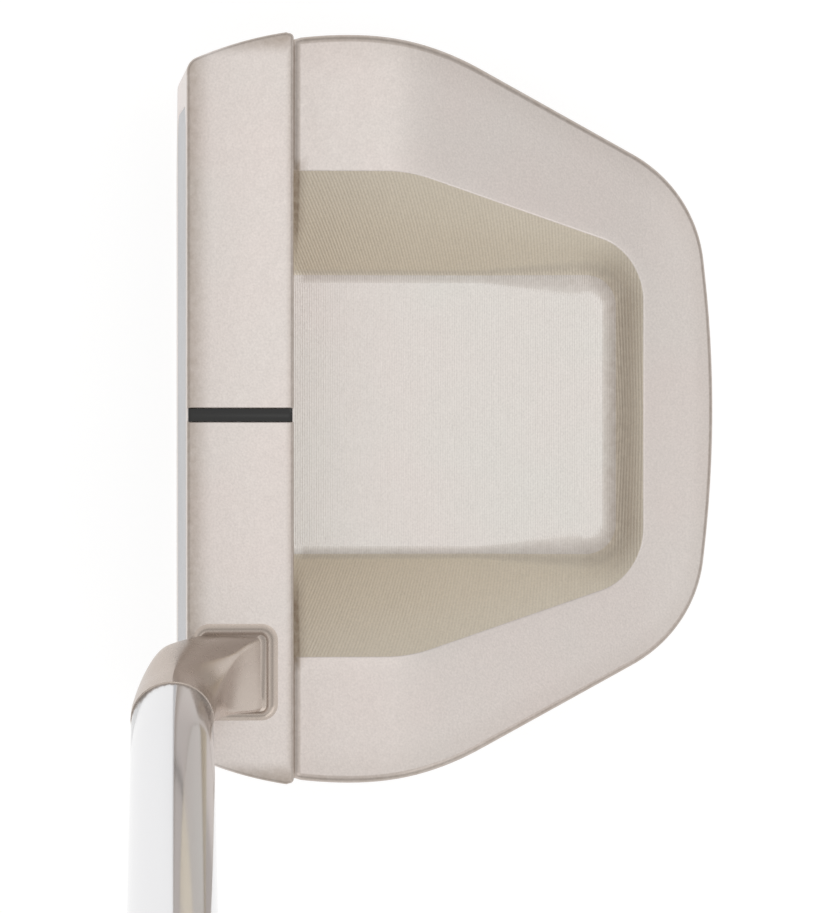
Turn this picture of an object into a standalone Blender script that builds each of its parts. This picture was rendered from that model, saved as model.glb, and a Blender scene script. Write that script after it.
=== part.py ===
"""Mallet putter, right-handed: a milled head with a flow neck, a stepped shaft and a flat-front grip.

World frame: +Z up, the sole's flat rests at Z = 0, the sighting line is at X = 0.
The face looks towards -Y, the toe is at -X, and the shaft leans towards the heel, +X.
Lengths below are millimetres and become metres through MM.
"""
import math

import bmesh
import bpy
from mathutils import Matrix, Vector

MM = 0.001
GAP = 0.3               # clearance kept between neighbouring pieces
FINE_GAP = 0.12         # clearance round the enamel, which is too narrow for more

# Angles of the club at address
LIE = math.radians(70)          # shaft above the ground, seen from the front
LOFT = math.radians(3)          # face leaning back
LEAN = math.pi / 2 - LIE

# Bar: the straight blade behind the face
BAR_TOP = 25.0
FACE_TOP_Y = -25.0
BAR_BACK_Y = -11.3
BAR_FOOT_RADIUS = 1.2
FACE_SOLE_Y = FACE_TOP_Y - BAR_TOP * math.tan(LOFT)

# Head outline from above, half widths from the middle line
HEAD_MID_X = -0.86
HALF_WIDTH = 48.9
FRONT_CORNER_X = 43.9
BACK_CORNER = (29.6, 43.1)
BACK_APEX_Y = 46.4

# Ring: the low body behind the bar, falling towards the back
RING_FRONT_Z = 16.7
RING_FALL_START = 4.0           # Y where the top starts to fall
RING_FALL_END = (38.0, 6.9)     # (Y, Z) where it eases out again
RING_BACK_SLOPE = 0.16

# Trough in the ring
FLOOR_Z = 4.8
SIDE_SLOPE = math.radians(42)
TROUGH_MID_X = -0.2
FLOOR_HALF = 18.55
TROUGH_FRONT_Y = BAR_BACK_Y - GAP
TROUGH_BACK_Y = 35.9
TROUGH_BACK_RUN = 3.6           # plan length of the slope up to the back rim
TROUGH_CORNER = 8.0
TROUGH_REACH_Z = 27.0           # the cutter ends above everything

# Sole
SOLE_FLAT_HALF = 31.5
WING = math.radians(12)         # the sole's wings rise towards toe and heel
WING_END = 46.5
SOLE_BACK_FLAT = 24.0
SOLE_BACK_RISE = 2.6
PLATE_HALF_X = 29.0
PLATE_Y = (-20.5, 23.0)
PLATE_THICK = 2.0
PLATE_CORNER = 5.0
POCKET_HALF_X = 20.0
POCKET_Y = (-19.4, -13.5)
POCKET_TOP = 20.0
WING_POCKET = ((31.8, 11.0), (43.4, 11.0), (37.4, 25.0), (31.8, 25.0))
WING_POCKET_TOP = 8.0
RELIEF_HALF = (16.0, 14.0)      # shallow relief over the plate, under the trough
RELIEF_MID_Y = 6.0
RELIEF_TOP = 3.3

# Sole plate screws, M3 countersunk
SCREW_X = 24.6
SCREW_Y = (-16.2, 18.6)
SCREW_R = 1.5
SCREW_HEAD_R = 2.9
SCREW_LENGTH = 6.0
SCREW_DRIVE_R = 1.0

# Threaded sole weights, on an axis square to the wing
WEIGHT_X = 38.0
WEIGHT_Y = 1.0
WEIGHT_HEAD_R = 5.4
WEIGHT_SHANK_R = 3.9
WEIGHT_HEAD = (0.3, 2.6)        # depths of the head's faces below the sole
WEIGHT_END = 10.0
WEIGHT_HEX_R = 2.6
SEAT_DEPTH = 4.4
O_RING_MAJOR = 4.85
O_RING_MINOR = 0.5
O_RING_DEPTH = 3.5

# Face insert and its pad, lying in the lofted face
INSERT_HALF = (39.0, 9.0)
INSERT_Z = 12.7
INSERT_THICK = 3.0
INSERT_CORNER = 3.0
PAD_THICK = 0.5

# Sighting line
LINE_WIDTH = 1.8
LINE_DEPTH = 0.8

# Flow neck
NECK_BASE = (33.0, -18.8)
NECK_BASE_HALF = (4.95, 4.2)
NECK_FLARE = 1.2
NECK_TAPER = 0.3                # how much narrower the leaning back face gets
NECK_R = 5.2
TENON_R = 2.5
TENON_BACK = 1.0                # the tenon stands behind the column's middle, clear of the insert
TENON_DEPTH = 7.5

# Shaft, distances along its axis from the ground
JOINT = Vector((37.92, -26.87, 42.0))
TIP_R = 5.1
SHAFT_WALL = 0.45
BUTT_R = 7.35
STEP_START = 330.0
STEP_COUNT = 9
STEP_SPACING = 27.0
CLUB_LENGTH = 876.0
SHAFT_END = 868.0
POST_R = 4.2
POST_LENGTH = 25.0
PLUG_LENGTH = 9.0

# Grip
GRIP_LENGTH = 267.0
TAPE_THICK = 0.3
CAP_THICK = 5.0
VENT_R = 1.6

AXIS = Vector((math.sin(LEAN), 0, math.cos(LEAN)))
JOINT_S = JOINT.z / math.cos(LEAN)
GROUND_POINT = JOINT - AXIS * JOINT_S

MATERIALS = {
    "steel_head": ((0.66, 0.60, 0.56), 0.34, 1.0),
    "milled_face": ((0.62, 0.62, 0.62), 0.30, 1.0),
    "damping_pad": ((0.05, 0.05, 0.06), 0.85, 0.0),
    "black_enamel": ((0.012, 0.012, 0.012), 0.25, 0.0),
    "sole_aluminium": ((0.60, 0.60, 0.61), 0.38, 1.0),
    "screw_steel": ((0.42, 0.42, 0.43), 0.30, 1.0),
    "weight_steel": ((0.50, 0.50, 0.50), 0.28, 1.0),
    "seal_rubber": ((0.02, 0.02, 0.02), 0.70, 0.0),
    "shaft_chrome": ((0.80, 0.80, 0.81), 0.08, 1.0),
    "plug_nylon": ((0.55, 0.53, 0.48), 0.55, 0.0),
    "tape_paper": ((0.62, 0.56, 0.42), 0.80, 0.0),
    "grip_rubber": ((0.025, 0.025, 0.026), 0.75, 0.0),
}


def clear_scene():
    for obj in list(bpy.data.objects):
        bpy.data.objects.remove(obj, do_unlink=True)


def make_collection(name):
    collection = bpy.data.collections.new(name)
    bpy.context.scene.collection.children.link(collection)
    return collection


def make_material(name):
    colour, roughness, metallic = MATERIALS[name]
    material = bpy.data.materials.get(name)
    if material is None:
        material = bpy.data.materials.new(name)
        material.use_nodes = True
        shader = material.node_tree.nodes["Principled BSDF"]
        shader.inputs["Base Color"].default_value = (*colour, 1.0)
        shader.inputs["Roughness"].default_value = roughness
        shader.inputs["Metallic"].default_value = metallic
    return material


clear_scene()
PARTS = make_collection("mallet_putter")
CUTTERS = make_collection("cutters")


def tidy_mesh(mesh, merge=0.000001):
    """Weld loose caps and turn every face outwards."""
    shape = bmesh.new()
    shape.from_mesh(mesh)
    bmesh.ops.remove_doubles(shape, verts=shape.verts, dist=merge)
    bmesh.ops.recalc_face_normals(shape, faces=shape.faces)
    shape.to_mesh(mesh)
    shape.free()


def add_object(name, mesh, matrix=None):
    obj = bpy.data.objects.new(name, mesh)
    PARTS.objects.link(obj)
    if matrix is not None:
        obj.matrix_world = matrix
    return obj


def as_part(obj, material, smooth_angle=35):
    obj.data.materials.clear()
    obj.data.materials.append(make_material(material))
    obj.data.shade_smooth()
    obj.data.set_sharp_from_angle(angle=math.radians(smooth_angle))
    return obj


def as_cutter(obj):
    PARTS.objects.unlink(obj)
    CUTTERS.objects.link(obj)
    obj.hide_render = True
    obj.display_type = "WIRE"
    return obj


def combine(obj, other, operation):
    """Cut with, join or keep the common part of another object, which becomes a cutter."""
    if other.name not in CUTTERS.objects:
        as_cutter(other)
    modifier = obj.modifiers.new(other.name, "BOOLEAN")
    modifier.operation = operation
    modifier.solver = "EXACT"
    modifier.object = other


def frame_at(origin, x_axis, z_axis):
    """Matrix whose local X and Z run along the given directions, with its origin in mm."""
    z_dir = Vector(z_axis).normalized()
    x_dir = Vector(x_axis)
    x_dir = (x_dir - z_dir * x_dir.dot(z_dir)).normalized()
    y_dir = z_dir.cross(x_dir)
    matrix = Matrix((x_dir, y_dir, z_dir)).transposed().to_4x4()
    matrix.translation = Vector(origin) * MM
    return matrix


def rounded(corners, step=math.radians(9)):
    """Closed outline through (x, y, radius) corners, each replaced by its arc."""
    points = []
    count = len(corners)
    for index, (x, y, radius) in enumerate(corners):
        here = Vector((x, y))
        before = (Vector(corners[index - 1][:2]) - here).normalized()
        after = (Vector(corners[(index + 1) % count][:2]) - here).normalized()
        turn = math.pi - before.angle(after)
        if radius <= 0 or turn < 1e-4:
            points.append(here)
            continue
        reach = radius * math.tan(turn / 2)
        middle = here + (before + after).normalized() * (radius / math.cos(turn / 2))
        start = here + before * reach - middle
        side = math.copysign(1.0, start.cross(here + after * reach - middle))
        steps = max(1, math.ceil(turn / step))
        for k in range(steps + 1):
            arm = start.copy()
            arm.rotate(Matrix.Rotation(side * turn * k / steps, 2))
            points.append(middle + arm)
    return points


def box_outline(half_x, half_y, radius, middle=(0.0, 0.0)):
    signs = ((1, -1), (1, 1), (-1, 1), (-1, -1))
    corners = [(middle[0] + i * half_x, middle[1] + j * half_y, radius) for i, j in signs]
    return rounded(corners, math.radians(18))


def prism(name, outline, low, high, matrix=None):
    """Flat outline in the local XY plane, standing from low to high along local Z."""
    curve = bpy.data.curves.new(name + "_outline", "CURVE")
    curve.dimensions = "2D"
    curve.fill_mode = "BOTH"
    curve.extrude = (high - low) / 2 * MM
    spline = curve.splines.new("POLY")
    spline.points.add(len(outline) - 1)
    for point, corner in zip(spline.points, outline):
        point.co = (corner[0] * MM, corner[1] * MM, 0, 1)
    spline.use_cyclic_u = True
    source = bpy.data.objects.new(name + "_outline", curve)
    PARTS.objects.link(source)
    graph = bpy.context.evaluated_depsgraph_get()
    mesh = bpy.data.meshes.new_from_object(source.evaluated_get(graph))
    bpy.data.objects.remove(source, do_unlink=True)
    tidy_mesh(mesh)
    mesh.name = name
    base = matrix if matrix is not None else Matrix.Identity(4)
    return add_object(name, mesh, base @ Matrix.Translation((0, 0, (low + high) / 2 * MM)))


def cylinder(name, radius, low, high, matrix, sides=32):
    bpy.ops.mesh.primitive_cylinder_add(vertices=sides, radius=radius * MM, depth=(high - low) * MM)
    obj = bpy.context.object
    for collection in list(obj.users_collection):
        collection.objects.unlink(obj)
    PARTS.objects.link(obj)
    obj.name = name
    obj.matrix_world = matrix @ Matrix.Translation((0, 0, (low + high) / 2 * MM))
    return obj


def turned(name, profile, matrix, sides=32):
    """Solid of revolution about local Z from (radius, height) points, run top to bottom outside."""
    mesh = bpy.data.meshes.new(name)
    vertices = [(radius * MM, 0, height * MM) for radius, height in profile]
    closed = profile[0][0] > 0 and profile[-1][0] > 0
    edges = [(i, i + 1) for i in range(len(profile) - 1)]
    if closed:
        edges.append((len(profile) - 1, 0))
    mesh.from_pydata(vertices, edges, [])
    obj = add_object(name, mesh, matrix)
    screw = obj.modifiers.new("turn", "SCREW")
    screw.axis = "Z"
    screw.angle = 2 * math.pi
    screw.steps = sides
    screw.render_steps = sides
    screw.use_merge_vertices = True
    screw.merge_threshold = 0.00001
    return obj


def loft(name, sections, matrix=None):
    """Closed skin over rings of equal point counts, given bottom to top, with flat caps."""
    shape = bmesh.new()
    rings = [[shape.verts.new(Vector(point) * MM) for point in section] for section in sections]
    count = len(rings[0])
    for lower, upper in zip(rings, rings[1:]):
        for k in range(count):
            after = (k + 1) % count
            shape.faces.new((lower[k], lower[after], upper[after], upper[k]))
    shape.faces.new(rings[0])
    shape.faces.new(rings[-1])
    bmesh.ops.recalc_face_normals(shape, faces=shape.faces)
    mesh = bpy.data.meshes.new(name)
    shape.to_mesh(mesh)
    shape.free()
    return add_object(name, mesh, matrix)


def mirrored(half, middle):
    """Full outline corners from those of the +X half, given front to back."""
    right = [(middle + x, y, radius) for x, y, radius in half]
    left = [(middle - x, y, radius) for x, y, radius in reversed(half) if x > 0]
    return right + left


# Frames shared by pieces and their recesses
ALONG_X = Matrix(((0, 0, 1, 0), (1, 0, 0, 0), (0, 1, 0, 0), (0, 0, 0, 1)))
ALONG_Y = Matrix.Rotation(math.pi / 2, 4, "X")
FACE_MIDDLE = (HEAD_MID_X, FACE_TOP_Y - (BAR_TOP - INSERT_Z) * math.tan(LOFT), INSERT_Z)
FACE = frame_at(FACE_MIDDLE, (1, 0, 0), (0, -math.cos(LOFT), math.sin(LOFT)))
SHAFT = frame_at(GROUND_POINT, (-math.cos(LEAN), 0, math.sin(LEAN)), AXIS)


def wing_frame(side):
    """Frame on the wing's surface at a weight, with local Z going into the head."""
    rise = (WEIGHT_X - SOLE_FLAT_HALF) * math.tan(WING)
    origin = (HEAD_MID_X + side * WEIGHT_X, WEIGHT_Y, rise)
    return frame_at(origin, (0, 1, 0), (-side * math.sin(WING), 0, math.cos(WING)))


def tenon_frame():
    return Matrix.Translation(Vector((NECK_BASE[0], NECK_BASE[1] + TENON_BACK, BAR_TOP)) * MM)


def head_outline():
    half = [
        (FRONT_CORNER_X, FACE_SOLE_Y - 0.1, 2.0),
        (HALF_WIDTH, -14.5, 54.0),
        (HALF_WIDTH, 5.6, 37.0),
        (*BACK_CORNER, 18.0),
        (0.0, BACK_APEX_Y, 160.0),
    ]
    return rounded(mirrored(half, HEAD_MID_X), math.radians(4))


def side_profile():
    """Head seen from the toe, as (Y, Z): sole, face, bar, bar foot, falling ring top."""
    back_y = BACK_APEX_Y + 1
    back_z = RING_FALL_END[1] - RING_BACK_SLOPE * (back_y - RING_FALL_END[0])
    corners = [
        (SOLE_BACK_FLAT, 0.0, 60.0),
        (FACE_SOLE_Y, 0.0, 1.5),
        (FACE_TOP_Y, BAR_TOP, 0.5),
        (BAR_BACK_Y, BAR_TOP, 0.4),
        (BAR_BACK_Y, RING_FRONT_Z, BAR_FOOT_RADIUS),
        (RING_FALL_START, RING_FRONT_Z, 22.0),
        (*RING_FALL_END, 40.0),
        (back_y, back_z, 0.0),
        (back_y, SOLE_BACK_RISE, 0.0),
    ]
    return rounded(corners, math.radians(6))


def front_profile():
    """Head seen from the face, as (X, Z): flat sole, rising wings, rounded lower corners."""
    rise = (WING_END - SOLE_FLAT_HALF) * math.tan(WING)
    half = [
        (SOLE_FLAT_HALF, 0.0, 8.0),
        (WING_END, rise, 5.0),
        (HALF_WIDTH + 0.7, 12.0, 14.0),
        (HALF_WIDTH + 0.7, BAR_TOP + 5, 0.0),
    ]
    return rounded(mirrored(half, HEAD_MID_X), math.radians(10))


def ring_top(y):
    """Height of the ring's top at a place behind the bar."""
    fall = (RING_FRONT_Z - RING_FALL_END[1]) / (RING_FALL_END[0] - RING_FALL_START)
    return min(RING_FRONT_Z, RING_FRONT_Z - (y - RING_FALL_START) * fall)


def trough():
    """Cutter whose sides slope up from a flat floor until they meet the ring's top."""
    rise = TROUGH_REACH_Z - FLOOR_Z
    floor_back = TROUGH_BACK_Y - TROUGH_BACK_RUN
    back_run = rise * TROUGH_BACK_RUN / (ring_top(TROUGH_BACK_Y) - FLOOR_Z)
    corner_step = math.radians(12)

    def section(half, back_y, radius):
        corners = [
            (half, TROUGH_FRONT_Y, 0.0),
            (half, back_y, radius),
        ]
        return rounded(mirrored(corners, TROUGH_MID_X), corner_step)

    low = section(FLOOR_HALF, floor_back, TROUGH_CORNER / 2)
    side_run = rise / math.tan(SIDE_SLOPE)
    high = section(FLOOR_HALF + side_run, floor_back + back_run, TROUGH_CORNER * 3)
    lower = [(p.x, p.y, FLOOR_Z) for p in low]
    upper = [(p.x, p.y, TROUGH_REACH_Z) for p in high]
    return loft("trough", [lower, upper])


def plate_outline(margin=0.0):
    half_y = (PLATE_Y[1] - PLATE_Y[0]) / 2
    middle = (HEAD_MID_X, (PLATE_Y[0] + PLATE_Y[1]) / 2)
    return box_outline(PLATE_HALF_X + margin, half_y + margin, PLATE_CORNER + margin, middle)


def screw_places():
    return [(HEAD_MID_X + side * SCREW_X, y) for y in SCREW_Y for side in (-1, 1)]


def line_outline(overrun, margin=0.0):
    """Sighting line across the bar's top, running past both of its edges by the overrun."""
    half_length = (BAR_BACK_Y - FACE_TOP_Y) / 2 + overrun
    middle = (0.0, (FACE_TOP_Y + BAR_BACK_Y) / 2)
    return box_outline(LINE_WIDTH / 2 - margin, half_length, 0.4, middle)


def make_head():
    head = prism("head_body", head_outline(), -2, BAR_TOP + 2)
    combine(head, prism("side_shape", side_profile(), -70, 70, ALONG_X), "INTERSECT")
    combine(head, prism("front_shape", front_profile(), -70, 70, ALONG_Y), "INTERSECT")
    combine(head, trough(), "DIFFERENCE")

    insert_depth = GAP + INSERT_THICK + PAD_THICK + GAP
    outline = box_outline(INSERT_HALF[0] + GAP, INSERT_HALF[1] + GAP, INSERT_CORNER + GAP)
    combine(head, prism("insert_seat", outline, -insert_depth, 3, FACE), "DIFFERENCE")
    combine(head, prism("line_groove", line_outline(1.0), BAR_TOP - LINE_DEPTH, BAR_TOP + 2), "DIFFERENCE")
    tenon_hole = cylinder("tenon_hole", TENON_R + GAP, -TENON_DEPTH - GAP, 2, tenon_frame(), 24)
    combine(head, tenon_hole, "DIFFERENCE")

    combine(head, prism("plate_seat", plate_outline(GAP), -2, PLATE_THICK + GAP), "DIFFERENCE")
    middle_y = (POCKET_Y[0] + POCKET_Y[1]) / 2
    pocket = box_outline(POCKET_HALF_X, (POCKET_Y[1] - POCKET_Y[0]) / 2, 2.5, (HEAD_MID_X, middle_y))
    combine(head, prism("bar_pocket", pocket, 1, POCKET_TOP), "DIFFERENCE")
    relief = box_outline(*RELIEF_HALF, 3.0, (HEAD_MID_X, RELIEF_MID_Y))
    combine(head, prism("floor_relief", relief, 1, RELIEF_TOP), "DIFFERENCE")
    for name, side in (("toe", -1), ("heel", 1)):
        corners = [(HEAD_MID_X + side * x, y, 3.0) for x, y in WING_POCKET]
        outline = rounded(corners, math.radians(18))
        combine(head, prism(f"{name}_wing_pocket", outline, -2, WING_POCKET_TOP), "DIFFERENCE")
    for number, (x, y) in enumerate(screw_places(), 1):
        place = Matrix.Translation(Vector((x, y, 0)) * MM)
        hole = cylinder(f"screw_hole_{number}", SCREW_R + GAP, 1, SCREW_LENGTH + GAP, place, 16)
        combine(head, hole, "DIFFERENCE")
    for name, side in (("toe", -1), ("heel", 1)):
        seat_r = WEIGHT_HEAD_R + GAP
        bore_r = WEIGHT_SHANK_R + GAP
        profile = [(0, WEIGHT_END + GAP), (bore_r, WEIGHT_END + GAP), (bore_r, SEAT_DEPTH),
                   (seat_r, SEAT_DEPTH), (seat_r, -3), (0, -3)]
        combine(head, turned(f"{name}_weight_seat", profile, wing_frame(side)), "DIFFERENCE")
    return as_part(head, "steel_head")


def make_face():
    outline = box_outline(*INSERT_HALF, INSERT_CORNER)
    as_part(prism("face_insert", outline, -INSERT_THICK, 0, FACE), "milled_face")
    top = -INSERT_THICK - GAP
    as_part(prism("insert_pad", outline, top - PAD_THICK, top, FACE), "damping_pad")


def make_sight_line():
    low = BAR_TOP - LINE_DEPTH + FINE_GAP
    fill = prism("sight_line_fill", line_outline(-FINE_GAP, FINE_GAP), low, BAR_TOP - FINE_GAP)
    as_part(fill, "black_enamel")


def make_sole():
    plate = prism("sole_plate", plate_outline(), 0, PLATE_THICK)
    sink_depth = SCREW_HEAD_R - SCREW_R
    for number, (x, y) in enumerate(screw_places(), 1):
        place = Matrix.Translation(Vector((x, y, 0)) * MM)
        sink = [(0, PLATE_THICK + 1), (SCREW_R + GAP, PLATE_THICK + 1),
                (SCREW_R + GAP, sink_depth + GAP), (SCREW_HEAD_R + GAP, GAP),
                (SCREW_HEAD_R + GAP, -1), (0, -1)]
        combine(plate, turned(f"countersink_{number}", sink, place, 20), "DIFFERENCE")
        shank = [(0, SCREW_LENGTH), (SCREW_R, SCREW_LENGTH), (SCREW_R, sink_depth + GAP),
                 (SCREW_HEAD_R, GAP), (SCREW_HEAD_R, 0.1), (0, 0.1)]
        screw = turned(f"sole_screw_{number}", shank, place, 20)
        drive = cylinder(f"screw_drive_{number}", SCREW_DRIVE_R, -1, 1.3, place, 6)
        combine(screw, drive, "DIFFERENCE")
        as_part(screw, "screw_steel")
    as_part(plate, "sole_aluminium")


def make_weights():
    for name, side in (("toe", -1), ("heel", 1)):
        frame = wing_frame(side)
        top, under = WEIGHT_HEAD
        profile = [(0, WEIGHT_END), (WEIGHT_SHANK_R, WEIGHT_END), (WEIGHT_SHANK_R, under),
                   (WEIGHT_HEAD_R, under), (WEIGHT_HEAD_R, top + 0.4), (WEIGHT_HEAD_R - 0.4, top),
                   (0, top)]
        weight = turned(f"{name}_weight", profile, frame)
        combine(weight, cylinder(f"{name}_weight_hex", WEIGHT_HEX_R, -1, 4, frame, 6), "DIFFERENCE")
        as_part(weight, "weight_steel")
        bpy.ops.mesh.primitive_torus_add(
            major_segments=32, minor_segments=10,
            major_radius=O_RING_MAJOR * MM, minor_radius=O_RING_MINOR * MM)
        ring = bpy.context.object
        for collection in list(ring.users_collection):
            collection.objects.unlink(ring)
        PARTS.objects.link(ring)
        ring.name = f"{name}_weight_o_ring"
        ring.matrix_world = frame @ Matrix.Translation((0, 0, O_RING_DEPTH * MM))
        as_part(ring, "seal_rubber")


def bezier(points, t):
    a, b, c, d = points
    s = 1 - t
    return a * s ** 3 + b * (3 * s * s * t) + c * (3 * s * t * t) + d * t ** 3


def rounded_ring(middle, side_dir, depth_dir, half_side, half_depth, power, taper=0.0, count=36):
    """Ring of points on a superellipse: power 2 is round, a higher power is squarer.

    The taper narrows it towards the depth direction."""
    ring = []
    for k in range(count):
        angle = 2 * math.pi * k / count
        cos_a, sin_a = math.cos(angle), math.sin(angle)
        x = math.copysign(abs(cos_a) ** (2 / power), cos_a) * half_side
        y = math.copysign(abs(sin_a) ** (2 / power), sin_a) * half_depth
        x *= 1 - taper * max(0.0, y / half_depth)
        ring.append(middle + side_dir * x + depth_dir * y)
    return ring


def make_neck():
    """Square column on the bar that bends into the round hosel on the shaft's axis."""
    foot_z = BAR_TOP + GAP / 3
    start = Vector((*NECK_BASE, foot_z))
    path = (start, start + Vector((0.6, -2.4, 4.6)), JOINT - AXIS * 10.5, JOINT.copy())
    sections = []
    for height, flare in ((0.0, 1.0), (0.25, 0.45), (0.7, 0.12)):
        grow = NECK_FLARE * flare
        middle = start + Vector((0.05, -0.1, 1)) * height
        sections.append(rounded_ring(middle, Vector((1, 0, 0)), Vector((0, 1, 0)),
                                     NECK_BASE_HALF[0] + grow, NECK_BASE_HALF[1] + grow, 5.0))
    steps = 12
    for k in range(1, steps + 1):
        t = 0.1 + 0.9 * k / steps
        blend = t * t * (3 - 2 * t)
        normal = Vector((0, 0, 1)).lerp(AXIS, blend).normalized()
        depth_dir = Vector((0, 1, 0))
        side_dir = depth_dir.cross(normal)
        half_side = NECK_BASE_HALF[0] + (NECK_R - NECK_BASE_HALF[0]) * blend
        half_depth = NECK_BASE_HALF[1] + (NECK_R - NECK_BASE_HALF[1]) * blend
        power = 5.0 - 3.0 * max(0.0, (t - 0.5) / 0.5) ** 1.5
        taper = NECK_TAPER * math.sin(math.pi * t ** 1.5)
        sections.append(rounded_ring(bezier(path, t), side_dir, depth_dir,
                                     half_side, half_depth, power, taper))
    neck = loft("flow_neck", sections)
    combine(neck, cylinder("neck_tenon", TENON_R, -TENON_DEPTH, 0.8, tenon_frame(), 24), "UNION")
    combine(neck, cylinder("hosel_post", POST_R, JOINT_S - 3, JOINT_S + POST_LENGTH, SHAFT), "UNION")
    as_part(neck, "steel_head")


def shaft_radius(s):
    """Outer radius at a distance along the axis: straight tip, equal steps, straight butt."""
    taken = min(STEP_COUNT, max(0, math.floor((s - STEP_START) / STEP_SPACING) + 1))
    return TIP_R + (BUTT_R - TIP_R) * taken / STEP_COUNT


def make_shaft():
    low = JOINT_S + GAP
    outer = [(BUTT_R, SHAFT_END)]
    for k in reversed(range(STEP_COUNT)):
        place = STEP_START + k * STEP_SPACING
        outer.append((shaft_radius(place), place + 1.0))
        outer.append((shaft_radius(place - 1.0), place))
    outer.append((TIP_R, low))
    inner = [(TIP_R - SHAFT_WALL, low), (TIP_R - SHAFT_WALL, STEP_START - 5),
             (BUTT_R - SHAFT_WALL, STEP_START + STEP_COUNT * STEP_SPACING),
             (BUTT_R - SHAFT_WALL, SHAFT_END)]
    as_part(turned("shaft", outer + inner, SHAFT, 40), "shaft_chrome")
    plug_low = JOINT_S + POST_LENGTH + 2
    plug = cylinder("shaft_tip_plug", POST_R, plug_low, plug_low + PLUG_LENGTH, SHAFT, 24)
    as_part(plug, "plug_nylon")


def grip_sections():
    """Grip from its mouth to its butt, as (distance up the grip, half width, front, back).

    Front is the flat side's distance from the shaft's axis, back is the bulging side's."""
    return [
        (0.0, 9.6, 9.4, 9.6),
        (3.0, 10.4, 10.0, 10.6),
        (40.0, 11.2, 10.6, 11.6),
        (90.0, 12.4, 11.0, 13.0),
        (140.0, 13.2, 11.2, 14.4),
        (185.0, 13.8, 11.4, 15.6),
        (215.0, 14.2, 11.6, 17.2),
        (240.0, 14.6, 11.8, 19.6),
        (255.0, 14.6, 11.8, 20.2),
        (GRIP_LENGTH - CAP_THICK, 14.4, 11.8, 19.8),
    ]


def grip_ring(s, half_width, front, back, count=40):
    """One section of the grip: flat in front (local +X), round behind."""
    ring = []
    for k in range(count):
        angle = 2 * math.pi * k / count
        cos_a, sin_a = math.cos(angle), math.sin(angle)
        power = 5.0 if cos_a > 0 else 2.2
        reach = front if cos_a > 0 else back
        x = math.copysign(abs(cos_a) ** (2 / power), cos_a) * reach
        y = math.copysign(abs(sin_a) ** (2 / 2.6), sin_a) * half_width
        ring.append((x, y, s))
    return ring


def make_grip():
    mouth = CLUB_LENGTH - GRIP_LENGTH
    body = [grip_ring(mouth + up, width, front, back) for up, width, front, back in grip_sections()]
    grip = loft("grip", body, SHAFT)
    bore_r = BUTT_R + GAP + TAPE_THICK + GAP
    combine(grip, cylinder("grip_bore", bore_r, mouth - 5, CLUB_LENGTH, SHAFT, 40), "DIFFERENCE")
    as_part(grip, "grip_rubber")

    inner = BUTT_R + GAP
    outer = inner + TAPE_THICK
    low, high = mouth + 4, SHAFT_END - 4
    tape = turned("grip_tape", [(outer, high), (outer, low), (inner, low), (inner, high)], SHAFT, 40)
    as_part(tape, "tape_paper")

    _, width, front, back = grip_sections()[-1]
    low = CLUB_LENGTH - CAP_THICK + GAP
    rings = []
    for up, shrink in ((0.0, 0.0), (2.2, 0.2), (3.6, 1.0), (CAP_THICK - GAP, 2.6)):
        rings.append(grip_ring(low + up, width - shrink, front - shrink, back - shrink))
    cap = loft("grip_cap", rings, SHAFT)
    combine(cap, cylinder("vent", VENT_R, low - 1, CLUB_LENGTH + 1, SHAFT, 16), "DIFFERENCE")
    as_part(cap, "grip_rubber")


make_head()
make_face()
make_sight_line()
make_sole()
make_weights()
make_neck()
make_shaft()
make_grip()
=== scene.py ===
"""Looks of a mallet putter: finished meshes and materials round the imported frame.

The frame is in metres: Z up, the sole at Z = 0, the sighting line at X = 0, the face towards -Y,
the toe at -X and the shaft leaning towards the heel, +X. Sizes in the classes are millimetres.
"""

import logging
import math
from dataclasses import dataclass, field
from enum import Enum
from typing import Iterable, Sequence

import bmesh
import bpy
import numpy as np
from mathutils import Matrix, Vector


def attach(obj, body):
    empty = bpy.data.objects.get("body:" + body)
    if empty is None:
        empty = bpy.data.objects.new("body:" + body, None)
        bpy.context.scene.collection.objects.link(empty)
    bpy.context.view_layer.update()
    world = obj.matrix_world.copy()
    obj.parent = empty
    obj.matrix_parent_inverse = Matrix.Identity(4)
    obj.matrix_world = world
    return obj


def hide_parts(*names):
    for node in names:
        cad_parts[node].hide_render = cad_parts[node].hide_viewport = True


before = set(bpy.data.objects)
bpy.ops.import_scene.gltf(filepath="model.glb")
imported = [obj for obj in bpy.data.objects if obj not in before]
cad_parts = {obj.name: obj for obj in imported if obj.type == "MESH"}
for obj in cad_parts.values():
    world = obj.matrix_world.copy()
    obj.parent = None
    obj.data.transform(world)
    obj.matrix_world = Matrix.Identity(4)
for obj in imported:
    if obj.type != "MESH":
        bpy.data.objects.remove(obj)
LOG = logging.getLogger("putter")
MM = 0.001
HEAD_MIDDLE = -0.86
SOLE_FLAT = 31.5
WING_ANGLE = math.radians(12)
LOFT = math.radians(3)
LEAN = math.radians(20)
HOSEL_JOINT = (37.92, -26.87, 42.0)
WELD = 1e-7
Point = tuple[float, float, float]
Corner = tuple[float, float, float]
Row = tuple[str, float]


class Body(str, Enum):
    """The frame's moving groups."""

    CLUB = "club"
    TOE_SEAL = "toe_weight_seal"
    TOE_SCREW = "toe_weight_screw"
    HEEL_SEAL = "heel_weight_seal"
    HEEL_SCREW = "heel_weight_screw"


class Slot(str, Enum):
    """The record's material slots."""

    HEAD = "head_steel"
    INSERT = "milled_insert"
    PAD = "damping_pad"
    ENAMEL = "black_enamel"
    SOLE = "sole_aluminium"
    SCREW = "screw_steel"
    WEIGHT = "weight_steel"
    SEAL = "seal_rubber"
    NECK = "neck_steel"
    SHAFT = "shaft_chrome"
    PLUG = "plug_nylon"
    TAPE = "tape_paper"
    GRIP = "grip_rubber"


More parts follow.
